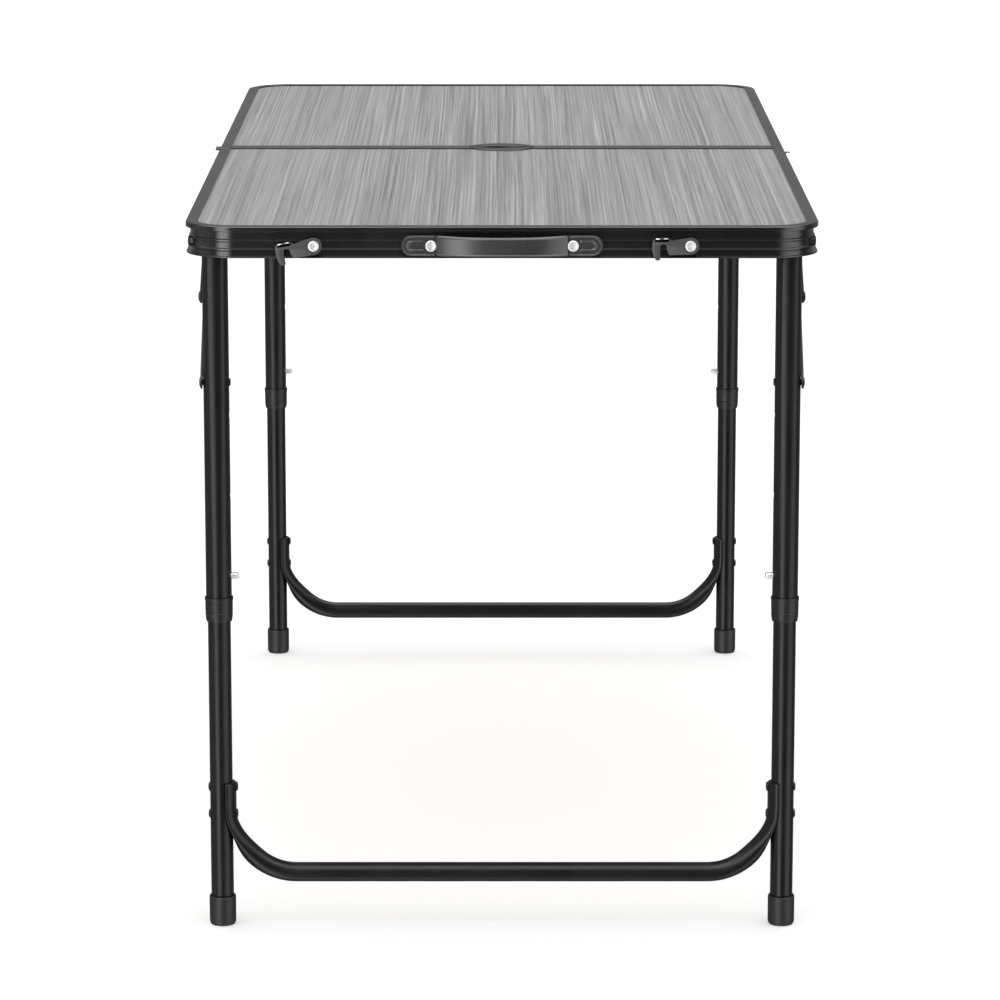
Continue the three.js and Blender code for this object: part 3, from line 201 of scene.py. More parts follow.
def block(low, high):
    """A box between two corners."""
    outline = [(low[0], low[1]), (high[0], low[1]), (high[0], high[1]), (low[0], high[1])]
    return slab(outline, low[2], high[2])


def moved(shell, matrix):
    points, faces, material = shell
    return [matrix @ p for p in points], faces, material


# ---------------------------------------------------------------- objects


def raw_object(name, shells, materials):
    """One mesh object from shells, in metres, with its points welded and its faces outwards."""
    points, faces, slots = [], [], []
    for shell_points, shell_faces, material in shells:
        start = len(points)
        points += [p * MM for p in shell_points]
        faces += [tuple(i + start for i in face) for face in shell_faces]
        slots += [material] * len(shell_faces)
    mesh = bpy.data.meshes.new(name)
    mesh.from_pydata(points, [], faces)
    mesh.polygons.foreach_set("material_index", slots)
    for material in materials:
        mesh.materials.append(material)
    clean = bmesh.new()
    clean.from_mesh(mesh)
    bmesh.ops.remove_doubles(clean, verts=clean.verts, dist=WELD)
    bmesh.ops.dissolve_degenerate(clean, edges=clean.edges, dist=WELD)
    bmesh.ops.recalc_face_normals(clean, faces=clean.faces)
    clean.to_mesh(mesh)
    clean.free()
    made = bpy.data.objects.new(name, mesh)
    bpy.context.scene.collection.objects.link(made)
    return made


def settle(made):
    """Applies an object's modifiers to its mesh."""
    bpy.context.view_layer.update()
    seen = made.evaluated_get(bpy.context.evaluated_depsgraph_get())
    final = bpy.data.meshes.new_from_object(seen)
    made.modifiers.clear()
    made.data = final


def cut_with(made, shells):
    """Cuts the shells out of an object."""
    tool = raw_object(made.name + "_cutter", shells, [])
    cut = made.modifiers.new("cut", "BOOLEAN")
    cut.object = tool
    cut.solver = "EXACT"
    settle(made)
    bpy.data.objects.remove(tool)


def soften(made, width):
    """Rounds the sharp edges of an object."""
    bevel = made.modifiers.new("bevel", "BEVEL")
    bevel.width = width * MM
    bevel.segments = 2
    bevel.limit_method = "ANGLE"
    bevel.angle_limit = math.radians(BEVEL_ANGLE)
    bevel.use_clamp_overlap = True
    settle(made)


def shade(made, angle):
    """Smooth shading, with edges sharper than the angle kept crisp."""
    shaded = bmesh.new()
    shaded.from_mesh(made.data)
    limit = math.radians(angle)
    for face in shaded.faces:
        face.smooth = True
    for edge in shaded.edges:
        edge.smooth = len(edge.link_faces) == 2 and edge.calc_face_angle(0) < limit
    shaded.to_mesh(made.data)
    shaded.free()


def stand_for(made, node, half, angle):
    """Shades an object, turns it round for the far half, hides the CAD node that it stands for, and
    ties it to that node's body.
    """
    shade(made, angle)
    if half == "far":
        made.data.transform(Matrix.Rotation(math.pi, 4, "Z"))
    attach(made, BODY_OF[node])
    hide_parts(node)


def piece(node, shells, materials, half="near", cutters=(), bevel=0.0, angle=PLAIN_ANGLE):
    """A finished piece that stands for a CAD node."""
    made = raw_object(node + "_detail", shells, materials)
    if cutters:
        cut_with(made, cutters)
    if bevel:
        soften(made, bevel)
    stand_for(made, node, half, angle)


# ---------------------------------------------------------------- materials


def new_material(name):
    """A material of one shader, and that shader."""
    material = bpy.data.materials.new(name)
    material.use_nodes = True
    nodes = material.node_tree.nodes
    nodes.clear()
    shader = nodes.new("ShaderNodeBsdfPrincipled")
    output = nodes.new("ShaderNodeOutputMaterial")
    material.node_tree.links.new(shader.outputs["BSDF"], output.inputs["Surface"])
    return material, shader


class Nodes:
    """Short calls for the nodes of one material or world."""

    def __init__(self, owner, coordinates="Object"):
        self.tree = owner.node_tree
        self.place = self.add("ShaderNodeTexCoord").outputs[coordinates]

    def add(self, kind, **settings):
        node = self.tree.nodes.new(kind)
        for name, value in settings.items():
            setattr(node, name, value)
        return node

    def link(self, out, into):
        if isinstance(out, (int, float, tuple)):
            into.default_value = out
        else:
            self.tree.links.new(out, into)

    def scaled(self, scale, vector=None):
        mapping = self.add("ShaderNodeMapping")
        self.link(vector or self.place, mapping.inputs["Vector"])
        mapping.inputs["Scale"].default_value = scale
        return mapping.outputs["Vector"]

    def noise(self, scale, detail, vector=None, roughness=0.55):
        noise = self.add("ShaderNodeTexNoise")
        self.link(vector or self.place, noise.inputs["Vector"])
        noise.inputs["Scale"].default_value = scale
        noise.inputs["Detail"].default_value = detail
        noise.inputs["Roughness"].default_value = roughness
        return noise.outputs["Fac"]

    def math(self, operation, a, b=0.0):
        node = self.add("ShaderNodeMath", operation=operation)
        for value, socket in zip((a, b), node.inputs):
            self.link(value, socket)
        return node.outputs[0]

    def spread(self, value, low, high, to_low=0.0, to_high=1.0, kind="LINEAR"):
        node = self.add("ShaderNodeMapRange", interpolation_type=kind)
        ends = {"From Min": low, "From Max": high, "To Min": to_low, "To Max": to_high}
        for name, number in ends.items():
            node.inputs[name].default_value = number
        self.link(value, node.inputs["Value"])
        return node.outputs["Result"]

    def ramp(self, value, stops):
        node = self.add("ShaderNodeValToRGB")
        elements = node.color_ramp.elements
        while len(elements) < len(stops):
            elements.new(0.5)
        for element, (at, colour) in zip(elements, stops):
            element.position = at
            element.color = (*colour, 1)
        self.link(value, node.inputs["Fac"])
        return node.outputs["Color"]

    def multiply(self, factor, colour, by):
        """Multiplies one colour by another, as far as factor says."""
        node = self.add("ShaderNodeMix", data_type="RGBA", blend_type="MULTIPLY")
        self.link(factor, node.inputs["Factor"])
        self.link(colour, node.inputs[6])
        self.link((*by, 1) if isinstance(by, tuple) else by, node.inputs[7])
        return node.outputs[2]

    def bump(self, shader, height, strength, distance):
        node = self.add("ShaderNodeBump")
        node.inputs["Strength"].default_value = strength
        node.inputs["Distance"].default_value = distance
        self.link(height, node.inputs["Height"])
        self.link(node.outputs["Normal"], shader.inputs["Normal"])


def laminate():
    """Printed grey wood grain: fine streaks along the table, soft bands and faint warm patches."""
    material, shader = new_material("laminate_wood_grain")
    n = Nodes(material)
    bend = n.noise(2.2, 2, n.scaled((1.0, 0.5, 1.0)))
    shift = n.add("ShaderNodeCombineXYZ")
    n.link(n.math("MULTIPLY", n.math("SUBTRACT", bend, 0.5), 0.007), shift.inputs["X"])
    added = n.add("ShaderNodeVectorMath", operation="ADD")
    n.link(n.place, added.inputs[0])
    n.link(shift.outputs[0], added.inputs[1])
    grain = added.outputs[0]
    fine = n.noise(1.0, 3, n.scaled((800, 2.0, 40), grain), 0.6)
    medium = n.noise(1.0, 2, n.scaled((420, 0.9, 20), grain), 0.5)
    broad = n.noise(1.0, 2, n.scaled((40, 0.7, 8), grain), 0.5)
    pores = n.noise(1.0, 2, n.scaled((900, 7, 40), grain), 0.5)
    tone = n.math("ADD", n.math("MULTIPLY", fine, 0.64), n.math("MULTIPLY", medium, 0.28))
    tone = n.math("ADD", tone, n.math("MULTIPLY", broad, 0.08))
    colour = n.ramp(
        tone,
        [
            (0.30, (0.150, 0.148, 0.152)),
            (0.42, (0.222, 0.219, 0.224)),
            (0.50, (0.304, 0.301, 0.307)),
            (0.58, (0.390, 0.386, 0.392)),
            (0.70, (0.550, 0.545, 0.552)),
        ],
    )
    dark = n.spread(pores, 0.30, 0.40, 0.72, 1.0)
    grey = n.add("ShaderNodeCombineColor")
    for channel in ("Red", "Green", "Blue"):
        n.link(dark, grey.inputs[channel])
    colour = n.multiply(1.0, colour, grey.outputs[0])
    warm = n.spread(n.noise(3.2, 2, n.scaled((1.0, 0.35, 1.0))), 0.52, 0.72, 0.0, 0.35)
    colour = n.multiply(warm, colour, (1.0, 0.975, 0.99))
    n.link(colour, shader.inputs["Base Color"])
    n.link(n.spread(fine, 0.3, 0.7, 0.42, 0.58), shader.inputs["Roughness"])
    shader.inputs["Specular IOR Level"].default_value = 0.32
    n.bump(shader, fine, 0.25, 0.0002)
    return material


def dark_metal(name, colour, roughness, uneven, grain, specular):
    """Black coated or anodised metal: a fine orange peel with uneven gloss."""
    material, shader = new_material(name)
    n = Nodes(material)
    fine = n.noise(900, 2)
    cloud = n.noise(14, 3)
    low = tuple(c * 0.86 for c in colour)
    high = tuple(min(1, c * 1.22) for c in colour)
    n.link(n.ramp(cloud, [(0.35, low), (0.65, high)]), shader.inputs["Base Color"])
    patches = n.spread(cloud, 0.3, 0.7, roughness - uneven, roughness + uneven)
    peel = n.math("MULTIPLY", n.math("SUBTRACT", fine, 0.5), 0.12)
    n.link(n.math("ADD", patches, peel), shader.inputs["Roughness"])
    shader.inputs["Metallic"].default_value = 0.0
    shader.inputs["Specular IOR Level"].default_value = specular
    n.bump(shader, fine, grain, 0.00012)
    return material


def plastic(name, colour, roughness, scale=1500, grain=0.35, specular=0.45):
    """Moulded plastic or rubber with a fine eroded texture."""
    material, shader = new_material(name)
    n = Nodes(material)
    grit = n.noise(scale, 2)
    cloud = n.noise(30, 2)
    low = tuple(c * 0.9 for c in colour)
    high = tuple(c * 1.12 for c in colour)
    n.link(n.ramp(cloud, [(0.35, low), (0.65, high)]), shader.inputs["Base Color"])
    n.link(n.spread(grit, 0.3, 0.7, roughness - 0.07, roughness + 0.07), shader.inputs["Roughness"])
    shader.inputs["Specular IOR Level"].default_value = specular
    n.bump(shader, grit, grain, 0.00008)
    return material


def bright_metal():
    """Zinc-plated rivets and pins, with tumbling marks; also the painted highlight on the hook tabs'
    end faces.
    """
    material, shader = new_material("plated_steel_and_painted_glint")
    n = Nodes(material)
    marks = n.noise(700, 4, None, 0.7)
    colour = n.ramp(marks, [(0.3, (0.58, 0.58, 0.59)), (0.7, (0.86, 0.86, 0.87))])
    n.link(colour, shader.inputs["Base Color"])
    n.link(n.spread(marks, 0.3, 0.7, 0.25, 0.48), shader.inputs["Roughness"])
    shader.inputs["Metallic"].default_value = 0.45
    n.bump(shader, marks, 0.4, 0.0001)
    return material


def board():
    """Underside and edge of the top panel: pressed fibre board."""
    material, shader = new_material("fibre_board")
    n = Nodes(material)
    fibres = n.noise(1.0, 5, n.scaled((260, 120, 200)), 0.7)
    cloud = n.noise(9, 3)
    colour = n.ramp(fibres, [(0.3, (0.17, 0.125, 0.085)), (0.7, (0.33, 0.25, 0.175))])
    tint = n.ramp(cloud, [(0.3, (0.86, 0.86, 0.86)), (0.7, (1.0, 1.0, 1.0))])
    n.link(n.multiply(1.0, colour, tint), shader.inputs["Base Color"])
    n.link(n.spread(fibres, 0.3, 0.7, 0.7, 0.9), shader.inputs["Roughness"])
    n.bump(shader, fibres, 0.4, 0.0003)
    return material


LAMINATE = laminate()
BOARD = board()
EDGING = dark_metal("anodised_edging", (0.010, 0.010, 0.0103), 0.2, 0.03, 0.05, 0.6)
TUBE = dark_metal("coated_tube", (0.0065, 0.0065, 0.0067), 0.34, 0.04, 0.1, 0.26)
STEEL = dark_metal("coated_steel", (0.010, 0.010, 0.0103), 0.38, 0.05, 0.2, 0.4)
HOOK = dark_metal("hook_steel", (0.058, 0.058, 0.060), 0.46, 0.05, 0.22, 0.45)
# This black also darkens the faces inside the handle's stitched holes as painted shade.
PLASTIC = plastic("moulded_black_and_hole_shade", (0.009, 0.009, 0.0093), 0.42, specular=0.35)
RUBBER = plastic("foot_rubber", (0.010, 0.010, 0.0103), 0.5, 900, 0.5, 0.4)
GRIP = plastic("moulded_grip", (0.034, 0.034, 0.035), 0.3, 1800, 0.15, 0.6)
TRIM = plastic("trim_plastic", (0.020, 0.020, 0.0205), 0.42)
BRIGHT = bright_metal()

# ---------------------------------------------------------------- top


def bead(depth):
    """A ridge that stands out from the edging's wall: (depth, reach, rounding) points."""
    crest = WALL_REACH - 1.2
    return [(depth + 1.7, WALL_REACH, 0.4), (depth + 0.8, crest, 0.6),
            (depth - 0.8, crest, 0.6), (depth - 1.7, WALL_REACH, 0.4)]


def edge_frame(half):
    """The extruded edging: lip over the panel, beaded wall, flange, and the ledge under the panel."""
    profile = [
        (0, 0, 1.5), (0, 11.5, 0.45), (1, 11.5, 0.35), (1, 6), (5.4, 6), (5.4, 11.5, 0.3),
        (6.6, 11.5, 0.3), (6.6, 6), (30, 6, 0.4), (30, 0.5, 0.65), (28.6, 0.5, 0.65),
        (28.6, WALL_REACH, 0.4), *bead(22.5), *bead(13.9), (5.3, WALL_REACH, 0.4), (5.3, 0, 0.9),
    ]
    profile = fillet(profile, 3)
    straight_end = -HALF_LENGTH + CORNER_RADIUS
    stations = [((-HALF_WIDTH, SEAM_Y), (1, 0)), ((-HALF_WIDTH, straight_end), (1, 0))]
    steps = 24
    for side, first in ((-1, 180), (1, 270)):
        for i in range(1, steps + 1):
            a = math.radians(first + 90 * i / steps)
            c, s = math.cos(a), math.sin(a)
            x = side * (HALF_WIDTH - CORNER_RADIUS) + CORNER_RADIUS * c
            y = -HALF_LENGTH + CORNER_RADIUS * (1 + s)
            stations.append(((x, y), (-c, -s)))
        if side < 0:
            stations.append(((HALF_WIDTH - CORNER_RADIUS, -HALF_LENGTH), (0, 1)))
    stations.append(((HALF_WIDTH, SEAM_Y), (-1, 0)))
    sections = []
    for (x, y), (nx, ny) in stations:
        section = [(x + nx * reach, y + ny * reach, TOP_Z - depth) for depth, reach in profile]
        sections.append(section)
    piece(half + "_edge_frame", [loft(sections)], [EDGING], half, angle=EDGING_ANGLE)


def half_oval(points):
    """A skin round this half of an oval, through (half width, half depth, z) points."""
    steps = 28
    sections = []
    for j in range(steps + 1):
        section = []
        for a, b, z in points:
            start = math.asin(-SEAM_Y / b)
            t = math.pi + start + (math.pi - 2 * start) * j / steps
            section.append((a * math.cos(t), b * math.sin(t), z))
        sections.append(section)
    return loft(sections)


def oval_prism(a, b, low, high):
    """A whole oval between two heights."""
    turns = [2 * math.pi * i / 56 for i in range(56)]
    return slab([(a * math.cos(t), b * math.sin(t)) for t in turns], low, high)


def seam_rail(half):
    """The edging along the seam, cut for the opening, and the pocket that hangs below it."""
    profile = fillet([
        (0, 0, 0.9), (0, 10, 0.45), (1, 10, 0.35), (1, 1.5), (5.4, 1.5), (5.4, 11.5, 0.3),
        (6.6, 11.5, 0.3), (6.6, 1.5), (28.6, 1.5, 0.3), (28.6, 10, 0.6), (30, 10, 0.6), (30, 0, 0.6),
    ], 3)
    end = HALF_WIDTH - 11.5 - GAP
    sections = [[(x, SEAM_Y - reach, TOP_Z - depth) for depth, reach in profile] for x in (-end, end)]
    made = raw_object(half + "_seam_rail_detail", [loft(sections)], [EDGING])
    for size in ((34.3, 28.3, PANEL_TOP_Z, 695), (*PANEL_OVAL, 684.6, 694), (*OPENING, 650, 693)):
        cut_with(made, [oval_prism(*size)])
    walls = [(*SLEEVE, 684.6), (*SLEEVE, RIM_Z), (*OPENING, RIM_Z), (*OPENING, 684.6)]
    pocket = raw_object("pocket", [half_oval(walls)], [EDGING])
    joined = bmesh.new()
    joined.from_mesh(made.data)
    joined.from_mesh(pocket.data)
    bpy.data.objects.remove(pocket)
    joined.to_mesh(made.data)
    joined.free()
    stand_for(made, half + "_seam_rail", half, EDGING_ANGLE)


def opening_trim(half):
    """Domed oval ring round the opening, with a sleeve that goes down through the panel."""
    ring = [
        (0.0, 689.2), (0.02, 689.8), (0.08, 690.3), (0.2, 690.6), (0.5, 690.8),
        (0.8, 690.6), (0.93, 690.2), (0.99, 689.6), (1.0, 689.0),
    ]
    points = [(*OPENING, PANEL_BOTTOM_Z)]
    points += [(OPENING[0] + 8 * s, OPENING[1] + 16.5 * s, z) for s, z in ring]
    points += [(*SLEEVE, 689.0), (*SLEEVE, PANEL_BOTTOM_Z)]
    piece(half + "_opening_trim", [half_oval(points)], [TRIM], half, angle=50)


def panel(half):
    """The board with its laminate face, notched for the opening."""
    inset = 6.3
    x = HALF_WIDTH - inset
    end = -(HALF_LENGTH - inset)
    seam = SEAM_Y - 1.8
    radius = CORNER_RADIUS - inset
    a, b = PANEL_OVAL
    start = math.asin(-seam / b)
    notch = []
    for j in range(25):
        t = 2 * math.pi - start - (math.pi - 2 * start) * j / 24
        notch.append((a * math.cos(t), b * math.sin(t)))
    outline = [(x, seam), *notch, (-x, seam)]
    outline += arc(-x + radius, end + radius, radius, 180, 270, 14)
    outline += arc(x - radius, end + radius, radius, 270, 360, 14)
    top = [(px, py, PANEL_TOP_Z) for px, py in outline]
    low = [(px, py, PANEL_BOTTOM_Z) for px, py in outline]
    points, faces, _ = loft([top, low], caps=False)
    n = len(outline)
    shells = [(points, faces + [tuple(range(n, 2 * n))], 1), (points[:n], [tuple(range(n))], 0)]
    piece(half + "_panel", shells, [LAMINATE, BOARD], half)


# ---------------------------------------------------------------- legs


def side_names(half):
    """(side of the half, side of the table) pairs."""
    return ((-1, "left"), (1, "right")) if half == "near" else ((-1, "right"), (1, "left"))


def dome(radius, base, height, crown=0.55):
    """Profile of a rivet head that stands on base and rises outwards; height may be negative."""
    return [
        (0, base), (radius, base), (radius, base + height * 0.35),
        (radius * 0.93, base + height * 0.62), (radius * crown, base + height * 0.93),
        (0, base + height),
    ]


def upper_tube(half, side, label):
    """Outer tube of a leg, round at its top, with a hole for each height."""
    x = side * LEG_X
    shell = tube(UPPER_RADIUS, UPPER_BORE, UPPER_END_Z, PIVOT_Z + UPPER_RADIUS, x, LEG_Y)
    round_z = PIVOT_Z - TUBE_TOP_DROP
    for p in shell[0]:
        if p.z > round_z:
            room = max(0.0, UPPER_RADIUS**2 - (p.y - LEG_Y) ** 2)
            p.z = min(p.z, round_z + math.sqrt(room))
    holes = []
    for step in range(3):
        centre = (x, LEG_Y, BUTTON_Z + step * HEIGHT_STEP)
        holes.append(lathe(rod(3.75, 0, 16), centre, (-side, 0, 0), 28))
    piece(label + "_upper_tube", [shell], [TUBE], half, holes, angle=40)


def lower_tube(half, side, label):
    shell = tube(LOWER_RADIUS, LOWER_BORE, 5.3, LOWER_TOP_Z, side * LEG_X, LEG_Y)
    piece(label + "_lower_tube", [shell], [TUBE], half)


def collar(half, side, label):
    """Moulded ring with a groove, at the lower end of the upper tube."""
    profile = fillet([
        (11.35, 303, 0.3), (12.35, 303, 0.5), (13.1, 308, 1.5), (13.2, 311.6, 0.2),
        (12.85, 312.1, 0.1), (12.85, 312.6, 0.1), (13.25, 313.1, 0.2), (13.3, 323.2, 0.3),
        (13.65, 323.7, 0.2), (13.65, 327, 0.5), (12.7, 327, 0.2), (12.7, 308.7), (11.35, 308.7),
    ], 2)
    shell = lathe(profile, (side * LEG_X, LEG_Y, 0), (0, 0, 1), 48, closed=True)
    piece(label + "_collar", [shell], [PLASTIC], half)


def foot(half, side, label):
    """Rubber cup on the end of the lower tube."""
    profile = fillet([
        (0, 0.4), (9.4, 0.4, 0.3), (9.9, 0, 0.2), (11.6, 0, 1.4),
        (12.9, 3.2, 2), (13.0, 27.6, 0.9), (12.6, 29, 0.5),
        (11.35, 29, 0.3), (11.35, 5), (0, 5),
    ], 3, closed=False)
    shell = lathe(profile, (side * LEG_X, LEG_Y, 0), (0, 0, 1), 48)
    piece(label + "_foot", [shell], [RUBBER], half)


def snap_button(half, side, label):
    """Domed pin in the tube's hole, on a bent leaf spring inside the tubes."""
    tip = UPPER_RADIUS + 7.2
    pin = [
        (0, 8.6), (3.9, 8.6), (3.9, 9.3), (3.2, 9.5), (3.2, tip - 1.9),
        (3.0, tip - 1.0), (2.35, tip - 0.3), (1.3, tip), (0, tip),
    ]
    button = lathe(pin, (side * LEG_X, LEG_Y, BUTTON_Z), (-side, 0, 0), 32)
    path = fillet([(-9.0, 5), (-9.0, -41, 3), (-3.0, -41, 3), (-0.8, -26)], 6, closed=False)
    thickness = 0.6
    outer, inner = [], []
    for i, (u, w) in enumerate(path):
        before, after = Vector(path[max(i - 1, 0)]), Vector(path[min(i + 1, len(path) - 1)])
        along = (after - before).normalized()
        outer.append((u, w))
        inner.append((u - along.y * thickness, w + along.x * thickness))
    place = lambda u, w, y: (side * (LEG_X + u), LEG_Y + y, BUTTON_Z + w)
    leaf = slab(outer + inner[::-1], -2.5, 2.5, place)
    piece(label + "_snap_button", [button, leaf], [BRIGHT], half)


BAR_RADIUS = 9.5
BAR_STANDOFF = 14.5  # from the leg's axis to the bar's
BAR_Z = 52
BAR_BEND = 58.0
BAR_TOPS = (143, 142.6, 141.5, 134, 126, 118)
SADDLE_MIDDLE = 12.95
SADDLE_HALF = 1.55
SADDLE_SPREAD = math.radians(70)


def crossbar_section(x, z, tangent, side, formed):
    """Round bar section that turns into a crescent hugging the leg as formed goes from 0 to 1."""
    section = []
    out = Vector((-side * tangent.z, 0, side * tangent.x))
    for i in range(32):
        a = 2 * math.pi * i / 32
        c, s = math.cos(a), math.sin(a)
        swing = SADDLE_SPREAD * c
        radius = SADDLE_MIDDLE - SADDLE_HALF * math.copysign(abs(s) ** 0.55, s)
        u = (1 - formed) * BAR_RADIUS * c + formed * radius * math.sin(swing)
        w = (1 - formed) * BAR_RADIUS * s + formed * (BAR_STANDOFF - radius * math.cos(swing))
        section.append(Vector((x, LEG_Y + u, z)) + out * w)
    return section


def crossbar(half):
    """One bent tube; its ends are pressed to the legs and riveted twice."""
    end_x = LEG_X - BAR_STANDOFF
    route = [(-end_x, z, Vector((0, 0, -1))) for z in BAR_TOPS]
    for i in range(25):
        a = math.radians(90 * i / 24)
        x = -end_x + BAR_BEND * (1 - math.cos(a))
        z = BAR_Z + BAR_BEND * (1 - math.sin(a))
        route.append((x, z, Vector((math.sin(a), 0, -math.cos(a)))))
    route += [(-x, z, Vector((t.x, 0, -t.z))) for x, z, t in reversed(route)]
    sections = []
    for x, z, tangent in route:
        side = -1 if x < 0 else 1
        formed = rise(z, 66, 116) if abs(x) > 150 else 0.0
        section = crossbar_section(x, z, tangent * -side, side, formed)
        if z >= 142.5:
            middle = sum(section, Vector()) / len(section)
            shrink = 0.86 if z > 142.9 else 0.95
            section = [middle + (p - middle) * shrink for p in section]
        sections.append(section)
    shells = [loft(sections)]
    for side in (-1, 1):
        for z in (138, 111):
            centre = (side * LEG_X, LEG_Y, z)
            shells.append(lathe(dome(4.6, 14.1, 2.2), centre, (-side, 0, 0), 28))
            shells.append(lathe(dome(4.4, 10.3, 2.4), centre, (side, 0, 0), 28))
    piece(half + "_crossbar", shells, [TUBE], half, angle=50)


def side_face(radius, y):
    """How far out the side is at y, where its corners turn with this radius."""
    past = max(0.0, abs(y) - (HALF_LENGTH - CORNER_RADIUS))
    return HALF_WIDTH - CORNER_RADIUS + math.sqrt(radius**2 - past**2)


def hexagon(radius, low, high, place):
    """A nut: six flats between two levels."""
    turns = [math.radians(60 * i) for i in range(6)]
    return slab([(radius * math.cos(t), radius * math.sin(t)) for t in turns], low, high, place)


def pivot_bolt(half, side, label):
    """Bolt that a leg swings on: its head outside the wall, a spacer, and a nut inside."""
    inner = LEG_X - UPPER_RADIUS - GAP
    outer = side_face(CORNER_RADIUS - WALL_REACH, 560) + 0.5
    wall = side_face(41.64, 571) - GAP
    shank = rod(4, inner - 4.8, outer + 0.2)
    spacer = rod(6, LEG_X + UPPER_RADIUS + GAP, wall)
    centre = (0, LEG_Y, PIVOT_Z)
    nut = hexagon(7.2, inner - 4, inner, lambda u, v, x: (side * x, LEG_Y + u, PIVOT_Z + v))
    shells = turned((shank, spacer, dome(5.0, outer, 1.9, 0.6)), centre, (side, 0, 0), 32)
    piece(label + "_pivot_bolt", shells + [nut], [STEEL], half, bevel=0.15)


# ---------------------------------------------------------------- stays

STAY_RAIL = Vector((-418, PIVOT_Z))
STAY_LEG = Vector((LEG_Y, 536))
UPPER_LINK = 106.0
LOWER_LINK = 95.5
UPPER_LINK_X = 288.6
LOWER_LINK_X = 285.2
LINK_HALF_WIDTH = 6.5


def stay_middle():
    """Where the two links of a stay meet, in (y, z)."""
    span = (STAY_LEG - STAY_RAIL).length
    along = (UPPER_LINK**2 - LOWER_LINK**2 + span**2) / (2 * span)
    off = math.sqrt(UPPER_LINK**2 - along**2)
    direction = (STAY_LEG - STAY_RAIL) / span
    return STAY_RAIL + direction * along + Vector((direction.y, -direction.x)) * off


def capsule(start, end, radius, steps):
    """Outline with round ends about two points."""
    angle = math.degrees(math.atan2(end.y - start.y, end.x - start.x))
    first = arc(start.x, start.y, radius, angle + 90, angle + 270, steps)
    return first + arc(end.x, end.y, radius, angle - 90, angle + 90, steps)


def link(start, end, x, side):
    """A flat link with round ends, and the rib pressed down its length."""
    place = lambda y, z, out: (side * (x + out), y, z)
    plate = slab(capsule(start, end, LINK_HALF_WIDTH, 14), 0, LINK_THICKNESS, place)
    inset = (end - start).normalized() * 2 * LINK_HALF_WIDTH
    rib = slab(capsule(start + inset, end - inset, 1.7, 8), 1.2, 2.25, place)
    return [plate, rib]


def stays(half, side, label):
    """The two links of a folding stay, each with the rivets and spacers that it carries."""
    middle = stay_middle()
    axis = (side, 0, 0)
    outer = UPPER_LINK_X + LINK_THICKNESS
    at_rail = (
        dome(4.2, UPPER_LINK_X + GAP, -1.4),
        rod(5, outer, WALL_INNER - GAP),
        rod(3, outer, WALL_OUTER + 1),
        dome(4.9, WALL_OUTER + SEAT, 2.2),
    )
    shells = link(STAY_RAIL, middle, UPPER_LINK_X, side)
    shells += turned(at_rail, (0, *STAY_RAIL), axis, 28)
    shells += turned([dome(5.0, outer - 0.1, 1.8)], (0, *middle), axis, 28)
    piece(label + "_upper_stay", shells, [STEEL], half, bevel=0.2)

    inner = LEG_X - UPPER_RADIUS - GAP
    outer = LOWER_LINK_X + LINK_THICKNESS
    at_leg = (rod(3, inner - 1, outer), dome(4.0, inner, -1.0, 0.7), dome(4.9, outer - 0.1, 1.3))
    shells = link(STAY_LEG, middle, LOWER_LINK_X, side)
    shells += turned(at_leg, (0, *STAY_LEG), axis, 28)
    piece(label + "_lower_stay", shells, [STEEL], half, bevel=0.2)


# ---------------------------------------------------------------- hooks, rivets, studs

WALL_TAIL = dome(4.2, -1.8, -1.1)  # rivet's end on the inside of a wall whose face is at zero


def quad(p0, p1, p2):
    """Points of a quadratic curve after its first one."""
    out = []
    for i in range(1, 7):
        t = i / 6
        ends = zip(p0, p1, p2)
        out.append(tuple(a * (1 - t) ** 2 + 2 * b * t * (1 - t) + c * t * t for a, b, c in ends))
    return out


def hook_shells():
    """Hook plate with its pivot at the origin and finger towards -x, and its thumb tab along +z."""
    near, far, tip = -22.3, -28.7, -36.0
    top = 7.4
    outline = arc(0, 0, 8, 90, -90, 20)
    outline += [(near + 1.8, -8), (near, -3)]
    outline += arc(-25.5, -0.8, 3.2, 0, 180, 14)[1:]
    outline += [(far, -11.5)]
    outline += quad((far, -11.5), (far - 0.4, -13), (far - 3, -13))
    outline += quad((far - 3, -13), (tip + 1, -12), (tip, -4))
    outline += [(tip, 2)] + quad((tip, 2), (tip, top), (tip + 3, top))
    outline += [(-19.6, top), (-17.4, 5.4), (-8, 7)]
    plate = slab(outline, 0, HOOK_THICKNESS)
    reach = 5.6
    bend = fillet([
        (4.6, 0), (8.6, 0, 1.6), (8.6, reach, 0.5), (7.2, reach, 0.4), (7.2, 1.6, 0.4), (4.6, 1.6),
    ], 4)
    tab_stations = (
        (-33.5, 1.6), (-33.1, 0.5), (-32.4, 0), (-29, 0),
        (-25, 0), (-21.6, 0), (-20.9, 0.5), (-20.5, 1.6),
    )
    sections = [[(x, y, min(z, reach - drop)) for y, z in bend] for x, drop in tab_stations]
    points, faces, _ = loft(sections)
    # The tab's outer end faces take slot 1, the bright plated material: a painted highlight on the
    # tab's edge.
    painted_glint = []
    for face in faces:
        middle = sum((points[i] for i in face), Vector()) / len(face)
        painted_glint.append(middle.z > reach - 0.7 and middle.y > 7.6 and 2 < abs(middle.x + 27) < 5.6)
    tab = (points, [f for f, w in zip(faces, painted_glint) if not w], 0)
    return [plate, tab, (points, [f for f, w in zip(faces, painted_glint) if w], 1)]


def hook_frame(place, outward, droop):
    """Turns the hook's own plane to face outward at a place, turned down by droop degrees."""
    up = Vector((0, 0, 1))
    outward = Vector(outward)
    right = up.cross(outward)
    facing = Matrix((right, up, outward)).transposed().to_4x4()
    return Matrix.Translation(place) @ facing @ Matrix.Rotation(math.radians(droop), 4, "Z")


